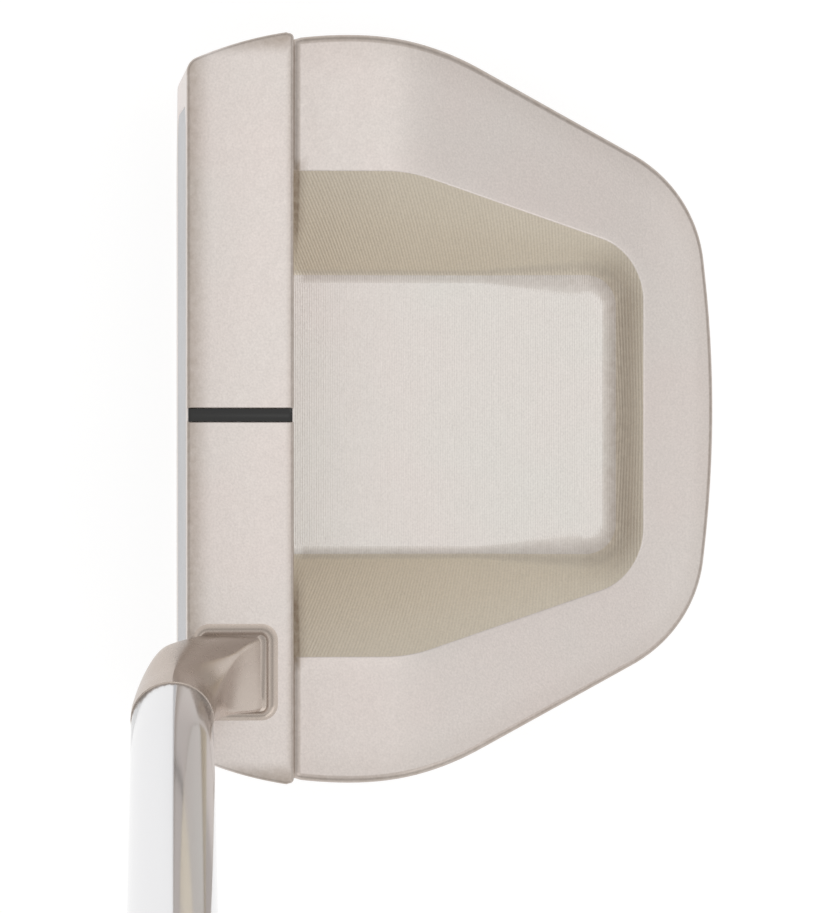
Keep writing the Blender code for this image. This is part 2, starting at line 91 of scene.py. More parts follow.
class Side(Enum):
    """End of the head that a paired part belongs to."""

    TOE = -1
    HEEL = 1


# ---------------------------------------------------------------- node trees


class Graph:
    """Short-hand for filling a node tree."""

    def __init__(self, tree: bpy.types.NodeTree) -> None:
        """Keep the tree that nodes are added to."""
        self.tree = tree

    def add(self, kind: str, inputs: dict | None = None, **settings: object) -> bpy.types.Node:
        """Add one node.

        Args:
            kind: The node's type name.
            inputs: Input name or number to a constant, or to an output socket to link from.
            settings: Properties set on the node before its inputs.

        Returns:
            The new node.
        """
        node = self.tree.nodes.new(kind)
        for key, value in settings.items():
            setattr(node, key, value)
        for key, value in (inputs or {}).items():
            if isinstance(value, bpy.types.NodeSocket):
                self.tree.links.new(value, node.inputs[key])
            else:
                node.inputs[key].default_value = value
        return node

    def math(self, operation: str, a: object, b: object = 0.0, c: object = 0.0) -> bpy.types.NodeSocket:
        """Return the result of a Math node on numbers or sockets."""
        return self.add("ShaderNodeMath", {0: a, 1: b, 2: c}, operation=operation).outputs[0]

    def vector(self, operation: str, a: object, b: object) -> bpy.types.NodeSocket:
        """Return the first result of a Vector Math node."""
        return self.add("ShaderNodeVectorMath", {0: a, 1: b}, operation=operation).outputs[0]


# ---------------------------------------------------------------- finishes


@dataclass(frozen=True)
class Finish:
    """A surface finish made only of procedural nodes.

    Colours are linear. Tint, grain and the painted shade are patterns in Object coordinates, sized in mm.
    """

    name: str
    colour: tuple[float, float, float]
    tint: tuple[float, float, float]
    roughness: float
    metallic: float = 1.0
    tint_size: float = 14.0
    roughness_spread: float = 0.02
    grain_size: float = 0.16
    grain_depth: float = 0.004
    rib_pitch: float = 0.0
    rib_depth: float = 0.0
    rib_slant: tuple[float, float, float] = (0.0, 1.0, 0.0)
    rib_bend: float = 0.0
    rib_shade: float = 0.0
    speckle: float = 0.05
    # Strength of the painted shade: brown darkening in creases, hollows and along edges, where shade falls.
    patina: float = 0.0
    coat: float = 0.0
    specular: float = 0.5

    def material(self) -> bpy.types.Material:
        """Return the finish's material, made on first use.

        Returns:
            The material.
        """
        made = bpy.data.materials.get(self.name)
        if made is not None:
            return made
        made = bpy.data.materials.new(self.name)
        made.use_nodes = True
        g = Graph(made.node_tree)
        shader = made.node_tree.nodes["Principled BSDF"]
        place = g.add("ShaderNodeTexCoord").outputs["Object"]
        self._colour(g, shader, place)
        self._bump(g, shader, place)
        shader.inputs["Metallic"].default_value = self.metallic
        shader.inputs["Specular IOR Level"].default_value = self.specular
        shader.inputs["Coat Weight"].default_value = self.coat
        return made

    def _noise(self, g: Graph, place: bpy.types.NodeSocket, size: float,
               detail: float) -> bpy.types.NodeSocket:
        """Return a noise value whose blotches are about size mm wide.

        Args:
            g: The graph that nodes are added to.
            place: Object coordinates.
            size: Width of a blotch, in mm.
            detail: Detail of the noise.

        Returns:
            The noise, from 0 to 1.
        """
        node = g.add("ShaderNodeTexNoise", {"Vector": place, "Scale": 1 / (size * MM), "Detail": detail,
                                            "Roughness": 0.55})
        return node.outputs["Fac"]

    def _colour(self, g: Graph, shader: bpy.types.Node, place: bpy.types.NodeSocket) -> None:
        """Drift the colour slowly towards the tint, with grain, painted rib light and shade, and a painted
        brown shade over it.

        Args:
            g: The graph that nodes are added to.
            shader: The shader whose inputs are linked.
            place: Object coordinates.
        """
        slow = self._noise(g, place, self.tint_size, 2.0)
        ramp = g.add("ShaderNodeMapRange", {"Value": slow, "From Min": 0.32, "From Max": 0.68})
        mix = g.add("ShaderNodeMix", {"Factor": ramp.outputs["Result"]}, data_type="RGBA")
        mix.inputs["A"].default_value = (*self.colour, 1.0)
        mix.inputs["B"].default_value = (*self.tint, 1.0)
        shade = g.math("MULTIPLY_ADD", self._noise(g, place, self.grain_size, 1.0), 4 * self.speckle,
                       1.0 - 2 * self.speckle)
        # Painted light and shade: colour stripes along the cutter's ribs.
        if self.rib_shade:
            shade = g.math("MULTIPLY_ADD", self._ribs(g, place), self.rib_shade, shade)
        shaded = g.add("ShaderNodeVectorMath", {0: mix.outputs["Result"], "Scale": shade}, operation="SCALE")
        colour = shaded.outputs["Vector"]
        # Painted shade: blend towards dark brown where the painted shade value is high.
        if self.patina:
            painted_dark = g.add("ShaderNodeMix", {"Factor": self._painted_shade(g, place), "A": colour}, data_type="RGBA")
            painted_dark.inputs["B"].default_value = (0.30, 0.235, 0.18, 1.0)
            colour = painted_dark.outputs["Result"]
        g.tree.links.new(colour, shader.inputs["Base Color"])
        fine = self._noise(g, place, self.tint_size / 9, 3.0)
        low, high = self.roughness - self.roughness_spread, self.roughness + self.roughness_spread
        rough = g.add("ShaderNodeMapRange", {"Value": fine, "From Min": 0.3, "From Max": 0.7,
                                             "To Min": low, "To Max": high})
        g.tree.links.new(rough.outputs["Result"], shader.inputs["Roughness"])

    def _painted_shade(self, g: Graph, place: bpy.types.NodeSocket) -> bpy.types.NodeSocket:
        """Painted brown shade: the mesh's own patina attribute, and a soft darker border on the bar's top.

        Args:
            g: The graph that nodes are added to.
            place: Object coordinates.

        Returns:
            The painted shade, from 0 to 1.
        """
        own = g.add("ShaderNodeAttribute", attribute_name="patina").outputs["Fac"]
        parts = g.add("ShaderNodeSeparateXYZ", {0: place})
        front = g.math("ADD", parts.outputs["Y"], 25.2 * MM)
        back = g.math("SUBTRACT", -11.1 * MM, parts.outputs["Y"])
        end = g.math("SUBTRACT", 47.6 * MM, g.math("ABSOLUTE", g.math("ADD", parts.outputs["X"], 0.86 * MM)))
        sides = g.math("MINIMUM", g.math("MULTIPLY", front, 0.7), g.math("MULTIPLY", back, 1.8))
        near = g.math("MINIMUM", sides, end)
        # Painted shade: darker towards the edges of the bar's top.
        border = g.add("ShaderNodeMapRange", {"Value": near, "From Min": 0.0, "From Max": 2.6 * MM,
                                              "To Min": 0.55, "To Max": 0.0}, interpolation_type="SMOOTHSTEP")
        high = g.math("GREATER_THAN", parts.outputs["Z"], 24.2 * MM)
        value = g.math("MAXIMUM", own, g.math("MULTIPLY", border.outputs["Result"], high))
        uneven = g.math("MULTIPLY_ADD", self._noise(g, place, 0.9, 2.0), 0.8, 0.6)
        return g.math("MULTIPLY", g.math("MULTIPLY", value, uneven), self.patina)

    def _ribs(self, g: Graph, place: bpy.types.NodeSocket) -> bpy.types.NodeSocket:
        """Wave of the cutter's ribs, from -1 to 1, mirrored about the object's middle plane.

        Args:
            g: The graph that nodes are added to.
            place: Object coordinates.

        Returns:
            The wave.
        """
        parts = g.add("ShaderNodeSeparateXYZ", {0: place})
        x = g.math("ABSOLUTE", parts.outputs["X"])
        slant, along, up = self.rib_slant
        run = g.math("MULTIPLY_ADD", x, slant, g.math("MULTIPLY", parts.outputs["Y"], along))
        run = g.math("MULTIPLY_ADD", parts.outputs["Z"], up, run)
        run = g.math("MULTIPLY_ADD", g.math("MULTIPLY", x, parts.outputs["Y"]), -self.rib_bend / MM, run)
        return g.math("SINE", g.math("MULTIPLY", run, 2 * math.pi / (self.rib_pitch * MM)))

    def _bump(self, g: Graph, shader: bpy.types.Node, place: bpy.types.NodeSocket) -> None:
        """Blasted grain, and cutter ribs where the finish has them.

        Args:
            g: The graph that nodes are added to.
            shader: The shader whose inputs are linked.
            place: Object coordinates.
        """
        height = g.math("MULTIPLY", self._noise(g, place, self.grain_size, 1.0), self.grain_depth)
        if self.rib_pitch:
            height = g.math("MULTIPLY_ADD", self._ribs(g, place), self.rib_depth / 2, height)
        bump = g.add("ShaderNodeBump", {"Height": height, "Distance": MM, "Strength": 1.0})
        g.tree.links.new(bump.outputs["Normal"], shader.inputs["Normal"])


BLASTED = Finish("blasted_steel", (0.73, 0.665, 0.635), (0.72, 0.67, 0.64), 0.36,
                 grain_size=0.28, grain_depth=0.014, speckle=0.06, patina=1.0)
MILLED_SLOPE = Finish("milled_slope_steel", (0.78, 0.71, 0.60), (0.76, 0.69, 0.58), 0.40,
                      rib_pitch=0.34, rib_depth=0.014, rib_slant=(0.30, 1.0, 0.0), rib_bend=0.008,
                      rib_shade=0.035, grain_size=0.28, grain_depth=0.014, speckle=0.06, patina=1.0)
MILLED_FLOOR = Finish("milled_floor_steel", (0.77, 0.715, 0.685), (0.75, 0.725, 0.69), 0.36,
                      tint_size=22.0, rib_pitch=0.31, rib_depth=0.010, rib_shade=0.045, grain_size=0.28,
                      grain_depth=0.012, speckle=0.06, patina=1.0)
NECK_STEEL = Finish("brushed_neck_steel", (0.57, 0.495, 0.44), (0.53, 0.46, 0.41), 0.28,
                    grain_depth=0.002)
INSERT_ALLOY = Finish("milled_insert_alloy", (0.54, 0.54, 0.55), (0.51, 0.51, 0.52), 0.32)
PAD_POLYMER = Finish("damping_polymer", (0.02, 0.02, 0.022), (0.03, 0.03, 0.033), 0.8, 0.0)
ENAMEL = Finish("black_enamel", (0.004, 0.004, 0.003), (0.007, 0.007, 0.006), 0.24, 0.0,
                roughness_spread=0.04, grain_size=0.4, grain_depth=0.003, specular=0.14)
SOLE_ALLOY = Finish("brushed_sole_alloy", (0.60, 0.60, 0.61), (0.56, 0.56, 0.57), 0.36,
                    rib_pitch=0.35, rib_depth=0.012)
SCREW_STEEL = Finish("screw_steel", (0.40, 0.40, 0.41), (0.36, 0.36, 0.37), 0.28, tint_size=3.0)
WEIGHT_STEEL = Finish("turned_weight_steel", (0.50, 0.50, 0.50), (0.46, 0.46, 0.46), 0.25,
                      tint_size=4.0)
SEAL_RUBBER = Finish("seal_rubber", (0.018, 0.018, 0.018), (0.026, 0.026, 0.026), 0.6, 0.0)
CHROME = Finish("shaft_chrome", (0.68, 0.675, 0.68), (0.65, 0.645, 0.65), 0.10,
                roughness_spread=0.02, tint_size=40.0, grain_depth=0.0002)
NYLON = Finish("plug_nylon", (0.55, 0.53, 0.48), (0.50, 0.48, 0.43), 0.5, 0.0)
TAPE = Finish("tape_paper", (0.62, 0.56, 0.42), (0.55, 0.49, 0.36), 0.8, 0.0, grain_depth=0.02)
RUBBER = Finish("grip_rubber", (0.022, 0.022, 0.023), (0.030, 0.030, 0.031), 0.68, 0.0,
                grain_size=0.3, grain_depth=0.02, tint_size=30.0)


# ---------------------------------------------------------------- mesh helpers


def new_object(name: str, mesh: bpy.types.Mesh) -> bpy.types.Object:
    """Link a mesh into the scene as an object at the origin.

    Args:
        name: The object's name.
        mesh: Its mesh.

    Returns:
        The object.
    """
    obj = bpy.data.objects.new(name, mesh)
    bpy.context.scene.collection.objects.link(obj)
    return obj


def tidy(mesh: bpy.types.Mesh, merge: float = WELD) -> None:
    """Weld doubles and turn every face outwards.

    Args:
        mesh: The mesh, changed in place.
        merge: Distance within which points are one, in metres.
    """
    shape = bmesh.new()
    shape.from_mesh(mesh)
    bmesh.ops.remove_doubles(shape, verts=shape.verts, dist=merge)
    bmesh.ops.dissolve_degenerate(shape, edges=shape.edges, dist=merge)
    bmesh.ops.recalc_face_normals(shape, faces=shape.faces)
    shape.to_mesh(mesh)
    shape.free()


def smooth(obj: bpy.types.Object, angle: float = 32.0) -> bpy.types.Object:
    """Shade smooth, with edges over the angle in degrees kept sharp.

    Args:
        obj: The object.
        angle: Largest angle that is shaded smooth, in degrees.

    Returns:
        The object.
    """
    obj.data.shade_smooth()
    obj.data.set_sharp_from_angle(angle=math.radians(angle))
    return obj


def dress(obj: bpy.types.Object, body: Body, nodes: Sequence[str],
          finishes: Sequence[Finish] = ()) -> bpy.types.Object:
    """Give a piece its finishes, body and the frame nodes that it stands for.

    Args:
        obj: The finished piece, at the origin.
        body: The frame body it rides on.
        nodes: Frame nodes that the piece replaces.
        finishes: Finishes in slot order, or none to keep the piece's own.

    Returns:
        The piece.
    """
    if finishes:
        obj.data.materials.clear()
        for finish in finishes:
            obj.data.materials.append(finish.material())
    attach(obj, body.value)
    if nodes:
        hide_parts(*nodes)
    LOG.info("%s: %d faces on %s", obj.name, len(obj.data.polygons), body.value)
    return obj


def evaluated(obj: bpy.types.Object) -> bpy.types.Object:
    """Turn an object's modifiers into its plain mesh and remove them.

    Args:
        obj: The object with modifiers.

    Returns:
        The object, with a plain mesh.
    """
    graph = bpy.context.evaluated_depsgraph_get()
    mesh = bpy.data.meshes.new_from_object(obj.evaluated_get(graph))
    mesh.name = obj.name
    obj.modifiers.clear()
    obj.data = mesh
    return obj


def combine(obj: bpy.types.Object, others: Iterable[bpy.types.Object], operation: str) -> None:
    """Cut, join or intersect with other objects, which are used up.

    Args:
        obj: The object that is changed.
        others: The other objects.
        operation: DIFFERENCE, UNION or INTERSECT.
    """
    others = list(others)
    for other in others:
        modifier = obj.modifiers.new(other.name, "BOOLEAN")
        modifier.operation = operation
        modifier.solver = "EXACT"
        modifier.object = other
        modifier.material_mode = "INDEX"
    bpy.context.view_layer.update()
    evaluated(obj)
    for other in others:
        bpy.data.objects.remove(other, do_unlink=True)
    drop_slivers(obj.data)


def unshaded(mesh: bpy.types.Mesh) -> None:
    """Give a mesh the patina attribute, with no painted shade anywhere."""
    layer = mesh.attributes.new("patina", "FLOAT_COLOR", "CORNER")
    layer.data.foreach_set("color", [0.0, 0.0, 0.0, 1.0] * len(mesh.loops))


def drop_slivers(mesh: bpy.types.Mesh) -> None:
    """Remove flat scraps of fewer than four faces that a cut can leave behind.

    Args:
        mesh: The mesh, changed in place.
    """
    shape = bmesh.new()
    shape.from_mesh(mesh)
    bmesh.ops.dissolve_degenerate(shape, edges=shape.edges, dist=WELD)
    waiting = set(shape.faces)
    while waiting:
        island, stack = set(), [waiting.pop()]
        while stack:
            face = stack.pop()
            island.add(face)
            for edge in face.edges:
                near = [other for other in edge.link_faces if other in waiting]
                waiting.difference_update(near)
                stack.extend(near)
        if len(island) < 4:
            bmesh.ops.delete(shape, geom=list(island), context="FACES")
    shape.to_mesh(mesh)
    shape.free()


def rounded(corners: Sequence[Corner], step: float = 4.0) -> list[Vector]:
    """Outline through corners, each turned into an arc.

    Args:
        corners: (x, y, radius) of each corner in order.
        step: Largest turn between neighbouring points, in degrees.

    Returns:
        The closed outline's points.
    """
    points = []
    for index, (x, y, radius) in enumerate(corners):
        here = Vector((x, y))
        before = (Vector(corners[index - 1][:2]) - here).normalized()
        after = (Vector(corners[(index + 1) % len(corners)][:2]) - here).normalized()
        turn = math.pi - before.angle(after)
        if radius <= 0 or turn < 1e-4:
            points.append(here)
            continue
        reach = radius * math.tan(turn / 2)
        middle = here + (before + after).normalized() * (radius / math.cos(turn / 2))
        start = here + before * reach - middle
        side = math.copysign(1.0, start.cross(here + after * reach - middle))
        steps = max(1, min(math.ceil(math.degrees(turn) / step), math.ceil(radius * turn / 0.2)))
        for k in range(steps + 1):
            arm = start.copy()
            arm.rotate(Matrix.Rotation(side * turn * k / steps, 2))
            points.append(middle + arm)
    return points


def mirrored(half: Sequence[Corner], middle: float) -> list[Corner]:
    """Full outline corners from those of the +X half, given front to back.

    Args:
        half: Corners with X measured from the middle.
        middle: X of the middle.

    Returns:
        The corners all the way round.
    """
    right = [(middle + x, y, radius) for x, y, radius in half]
    left = [(middle - x, y, radius) for x, y, radius in reversed(half) if x > 0]
    return right + left


def box_outline(half_x: float, half_y: float, radius: float, middle: tuple[float, float] = (0, 0),
                step: float = 9.0) -> list[Vector]:
    """Outline of a rectangle with rounded corners."""
    signs = ((1, -1), (1, 1), (-1, 1), (-1, -1))
    return rounded([(middle[0] + i * half_x, middle[1] + j * half_y, radius) for i, j in signs], step)


def skin(name: str, rings: Sequence[Sequence[Sequence[float]]], closed: bool = False,
         matrix: Matrix | None = None) -> bpy.types.Object:
    """Skin over rings of equal point counts, in mm.

    Args:
        name: The object's name.
        rings: The rings in order.
        closed: Whether the last ring joins the first, instead of both getting caps.
        matrix: Frame that the rings are given in.

    Returns:
        The closed object.
    """
    count = len(rings[0])
    points = np.array([tuple(p) for ring in rings for p in ring], float) * MM
    pairs = [(i, i + 1) for i in range(len(rings) - 1)]
    if closed:
        pairs.append((len(rings) - 1, 0))
    faces = [(a * count + k, a * count + (k + 1) % count, b * count + (k + 1) % count, b * count + k)
             for a, b in pairs for k in range(count)]
    if not closed:
        faces += [tuple(range(count)), tuple(range((len(rings) - 1) * count, len(rings) * count))]
    mesh = bpy.data.meshes.new(name)
    mesh.from_pydata(points.tolist(), [], faces)
    if matrix is not None:
        mesh.transform(matrix)
    tidy(mesh)
    return new_object(name, mesh)


def prism(name: str, outline: Sequence[Vector], levels: Sequence[tuple[float, float]],
          matrix: Matrix | None = None) -> bpy.types.Object:
    """Stand an outline up in local XY through (height, inset) levels.

    Args:
        name: The object's name.
        outline: Closed outline in mm.
        levels: Heights in order, each with how far the outline is drawn in there.
        matrix: Local frame, in metres.

    Returns:
        The closed object.
    """
    count = len(outline)
    area = sum(outline[k].cross(outline[(k + 1) % count]) for k in range(count))
    rings = []
    for height, inset in levels:
        ring = []
        for k, point in enumerate(outline):
            along = (outline[(k + 1) % count] - outline[k - 1]).normalized()
            normal = Vector((along.y, -along.x)) * math.copysign(1.0, area)
            moved = point - normal * inset
            ring.append((moved.x, moved.y, height))
        rings.append(ring)
    return skin(name, rings, matrix=matrix)


def turned(name: str, profile: Sequence[tuple[float, float]], matrix: Matrix,
           sides: int = 64) -> bpy.types.Object:
    """Solid of revolution about local Z.

    Args:
        name: The object's name.
        profile: (radius, height) points in mm; with no zero radius at its ends it closes on itself.
        matrix: Local frame, in metres.
        sides: Facets round the axis.

    Returns:
        The closed object.
    """
    rings = []
    for radius, height in profile:
        arms = [2 * math.pi * k / sides for k in range(sides)]
        rings.append([(radius * math.cos(a), radius * math.sin(a), height) for a in arms])
    return skin(name, rings, closed=profile[0][0] > 0, matrix=matrix)


def frame_at(origin: Sequence[float], x_axis: Sequence[float], z_axis: Sequence[float]) -> Matrix:
    """Matrix whose local X and Z run along the given directions, with its origin in mm.

    Args:
        origin: The frame's origin, in mm.
        x_axis: Direction of local X, squared up to local Z.
        z_axis: Direction of local Z.

    Returns:
        The matrix, in metres.
    """
    z_dir = Vector(z_axis).normalized()
    x_dir = Vector(x_axis)
    x_dir = (x_dir - z_dir * x_dir.dot(z_dir)).normalized()
    matrix = Matrix((x_dir, z_dir.cross(x_dir), z_dir)).transposed().to_4x4()
    matrix.translation = Vector(origin) * MM
    return matrix


def box_hexagon(radius: float) -> list[Vector]:
    """Outline of a hexagon socket with the given corner radius."""
    arms = [k * math.pi / 3 for k in range(6)]
    return [Vector((radius * math.cos(a), radius * math.sin(a))) for a in arms]


def join(obj: bpy.types.Object, others: Sequence[bpy.types.Object]) -> None:
    """Add other objects' meshes to an object's mesh, with everything at the origin.

    Args:
        obj: The object that the rest is added to.
        others: The other objects, which are used up.
    """
    shape = bmesh.new()
    shape.from_mesh(obj.data)
    for other in others:
        shape.from_mesh(other.data)
        bpy.data.objects.remove(other, do_unlink=True)
    bmesh.ops.recalc_face_normals(shape, faces=shape.faces)
    shape.to_mesh(obj.data)
    shape.free()


# ---------------------------------------------------------------- geometry nodes


def node_group(name: str, sizes: dict[str, tuple[str, float]]) -> tuple[Graph, bpy.types.Node]:
    """Start a Geometry Nodes tree.

    Args:
        name: The tree's name.
        sizes: Input name to its socket type and default.

    Returns:
        The graph and its Group Input node.
    """
    tree = bpy.data.node_groups.new(name, "GeometryNodeTree")
    tree.interface.new_socket("Geometry", in_out="INPUT", socket_type="NodeSocketGeometry")
    for label, (kind, default) in sizes.items():
        item = tree.interface.new_socket(label, in_out="INPUT", socket_type=kind)
        if kind != "NodeSocketMaterial" and kind != "NodeSocketObject":
            item.default_value = default
    tree.interface.new_socket("Geometry", in_out="OUTPUT", socket_type="NodeSocketGeometry")
    graph = Graph(tree)
    return graph, graph.add("NodeGroupInput")


def close_group(g: Graph, geometry: bpy.types.NodeSocket,
                material: bpy.types.NodeSocket) -> bpy.types.NodeTree:
    """End a tree in Realize Instances and Set Material.

    Args:
        g: The graph.
        geometry: The finished geometry.
        material: The material input.

    Returns:
        The tree.
    """
    real = g.add("GeometryNodeRealizeInstances", {0: geometry})
    painted = g.add("GeometryNodeSetMaterial", {"Geometry": real.outputs[0], "Material": material})
    g.add("NodeGroupOutput", {0: painted.outputs[0]})
    return g.tree


def run_group(name: str, tree: bpy.types.NodeTree, values: dict[str, object],
              source: bpy.types.Mesh | None = None) -> bpy.types.Object:
    """Run a Geometry Nodes tree and keep its result as a plain mesh.

    Args:
        name: The new object's name.
        tree: The tree.
        values: Input name to value.
        source: Mesh given to the tree, or none.

    Returns:
        The object with its modifier already removed.
    """
    obj = new_object(name, source or bpy.data.meshes.new(name))
    modifier = obj.modifiers.new(tree.name, "NODES")
    modifier.node_group = tree
    for item in tree.interface.items_tree:
        if item.item_type == "SOCKET" and item.in_out == "INPUT" and item.name in values:
            modifier[item.identifier] = values[item.name]
    bpy.context.view_layer.update()
    return evaluated(obj)


def ribbed_slab_tree() -> bpy.types.NodeTree:
    """Tree for a flat slab with rounded ends whose top is cut into straight ribs along local X.

    Returns:
        The tree.
    """
    number = "NodeSocketFloat"
    g, given = node_group("ribbed_slab", {
        "Half width": (number, 0.02), "Front": (number, 0.0), "Back": (number, 0.03),
        "Front corner": (number, 0.0), "Back corner": (number, 0.004), "Pitch": (number, 0.0003),
        "Depth": (number, 0.00002), "Thickness": (number, 0.0001),
        "Rows": ("NodeSocketInt", 300), "Material": ("NodeSocketMaterial", 0)})
    value = given.outputs
    grid = g.add("GeometryNodeMeshGrid", {"Size X": 2.0, "Size Y": 1.0, "Vertices X": 2,
                                          "Vertices Y": value["Rows"]})
    parts = g.add("ShaderNodeSeparateXYZ", {0: g.add("GeometryNodeInputPosition").outputs[0]})
    share = g.math("ADD", parts.outputs["Y"], 0.5)
    length = g.math("SUBTRACT", value["Back"], value["Front"])
    y = g.math("MULTIPLY_ADD", share, length, value["Front"])

    def cut(corner: bpy.types.NodeSocket, distance: bpy.types.NodeSocket) -> bpy.types.NodeSocket:
        """How far a rounded corner takes the side in, at a distance from that end.

        Args:
            corner: The corner's radius.
            distance: Distance from the end.

        Returns:
            The cut.
        """
        inside = g.math("MAXIMUM", g.math("SUBTRACT", corner, distance), 0.0)
        square = g.math("SUBTRACT", g.math("MULTIPLY", corner, corner), g.math("MULTIPLY", inside, inside))
        return g.math("SUBTRACT", corner, g.math("SQRT", g.math("MAXIMUM", square, 0.0)))

    front_cut = cut(value["Front corner"], g.math("SUBTRACT", y, value["Front"]))
    back_cut = cut(value["Back corner"], g.math("SUBTRACT", value["Back"], y))
    half = g.math("SUBTRACT", value["Half width"], g.math("ADD", front_cut, back_cut))
    x = g.math("MULTIPLY", parts.outputs["X"], g.math("MAXIMUM", half, 0.0001))
    turn = g.math("MULTIPLY", g.math("DIVIDE", y, value["Pitch"]), 2 * math.pi)
    wave = g.math("MULTIPLY_ADD", g.math("COSINE", turn), 0.5, -0.5)
    z = g.math("MULTIPLY", wave, value["Depth"])
    place = g.add("ShaderNodeCombineXYZ", {"X": x, "Y": y, "Z": z}).outputs[0]
    top = g.add("GeometryNodeSetPosition", {"Geometry": grid.outputs["Mesh"], "Position": place}).outputs[0]
    drop = g.add("ShaderNodeCombineXYZ", {"Z": g.math("MULTIPLY", value["Thickness"], -1.0)}).outputs[0]
    base = g.add("GeometryNodeExtrudeMesh", {"Mesh": top, "Offset": drop, "Offset Scale": 1.0,
                                             "Individual": False}, mode="FACES")
    walls = g.add("GeometryNodeFlipFaces", {0: base.outputs["Mesh"]})
    both = g.add("GeometryNodeJoinGeometry")
    g.tree.links.new(top, both.inputs[0])
    g.tree.links.new(walls.outputs[0], both.inputs[0])
    whole = g.add("GeometryNodeMergeByDistance", {"Geometry": both.outputs[0], "Distance": 1e-7})
    return close_group(g, whole.outputs[0], value["Material"])


def thread_tree() -> bpy.types.NodeTree:
    """Tree for the raised ridge of a screw thread round local Z.

    Returns:
        The tree.
    """
    number = "NodeSocketFloat"
    g, given = node_group("thread", {
        "Radius": (number, 0.0039), "Pitch": (number, 0.001), "Length": (number, 0.006),
        "Ridge": (number, 0.0003), "Start": (number, 0.003), "Material": ("NodeSocketMaterial", 0)})
    value = given.outputs
    turns = g.math("DIVIDE", value["Length"], value["Pitch"])
    helix = g.add("GeometryNodeCurveSpiral", {
        "Resolution": 48, "Rotations": turns, "Start Radius": value["Radius"],
        "End Radius": value["Radius"], "Height": value["Length"]})
    ridge = g.add("GeometryNodeCurvePrimitiveCircle", {"Resolution": 4, "Radius": value["Ridge"]})
    mesh = g.add("GeometryNodeCurveToMesh", {"Curve": helix.outputs[0], "Profile Curve": ridge.outputs[0],
                                             "Fill Caps": True})
    lift = g.add("ShaderNodeCombineXYZ", {"Z": value["Start"]}).outputs[0]
    moved = g.add("GeometryNodeTransform", {"Geometry": mesh.outputs[0], "Translation": lift})
    return close_group(g, moved.outputs[0], value["Material"])


def stud_tree() -> bpy.types.NodeTree:
    """Tree that stands a copy of one stud on every marked face of a surface, in line with an axis.

    Returns:
        The tree.
    """
    vector = "NodeSocketVector"
    g, given = node_group("studs", {
        "Stud": ("NodeSocketObject", 0), "Axis": (vector, (0, 0, 1)), "Material": ("NodeSocketMaterial", 0)})
    value = given.outputs
    named = g.add("GeometryNodeInputNamedAttribute", {"Name": "stud"}, data_type="BOOLEAN")
    keep = g.add("GeometryNodeCaptureAttribute", {"Geometry": value["Geometry"]}, domain="FACE")
    keep.capture_items.new("VECTOR", "Normal")
    g.tree.links.new(g.add("GeometryNodeInputNormal").outputs[0], keep.inputs["Normal"])
    chosen = {"Mesh": keep.outputs["Geometry"], "Selection": named.outputs["Attribute"]}
    points = g.add("GeometryNodeMeshToPoints", chosen, mode="FACES")
    up = g.add("FunctionNodeAlignRotationToVector", {"Vector": keep.outputs["Normal"]}, axis="Z")
    along = g.add("FunctionNodeAlignRotationToVector", {"Rotation": up.outputs[0], "Vector": value["Axis"]},
                  axis="X", pivot_axis="Z")
    stud = g.add("GeometryNodeObjectInfo", {"Object": value["Stud"]})
    placed = g.add("GeometryNodeInstanceOnPoints", {
        "Points": points.outputs[0], "Instance": stud.outputs["Geometry"], "Rotation": along.outputs[0]})
    both = g.add("GeometryNodeJoinGeometry")
    g.tree.links.new(value["Geometry"], both.inputs[0])
    g.tree.links.new(placed.outputs[0], both.inputs[0])
    return close_group(g, both.outputs[0], value["Material"])


# ---------------------------------------------------------------- head


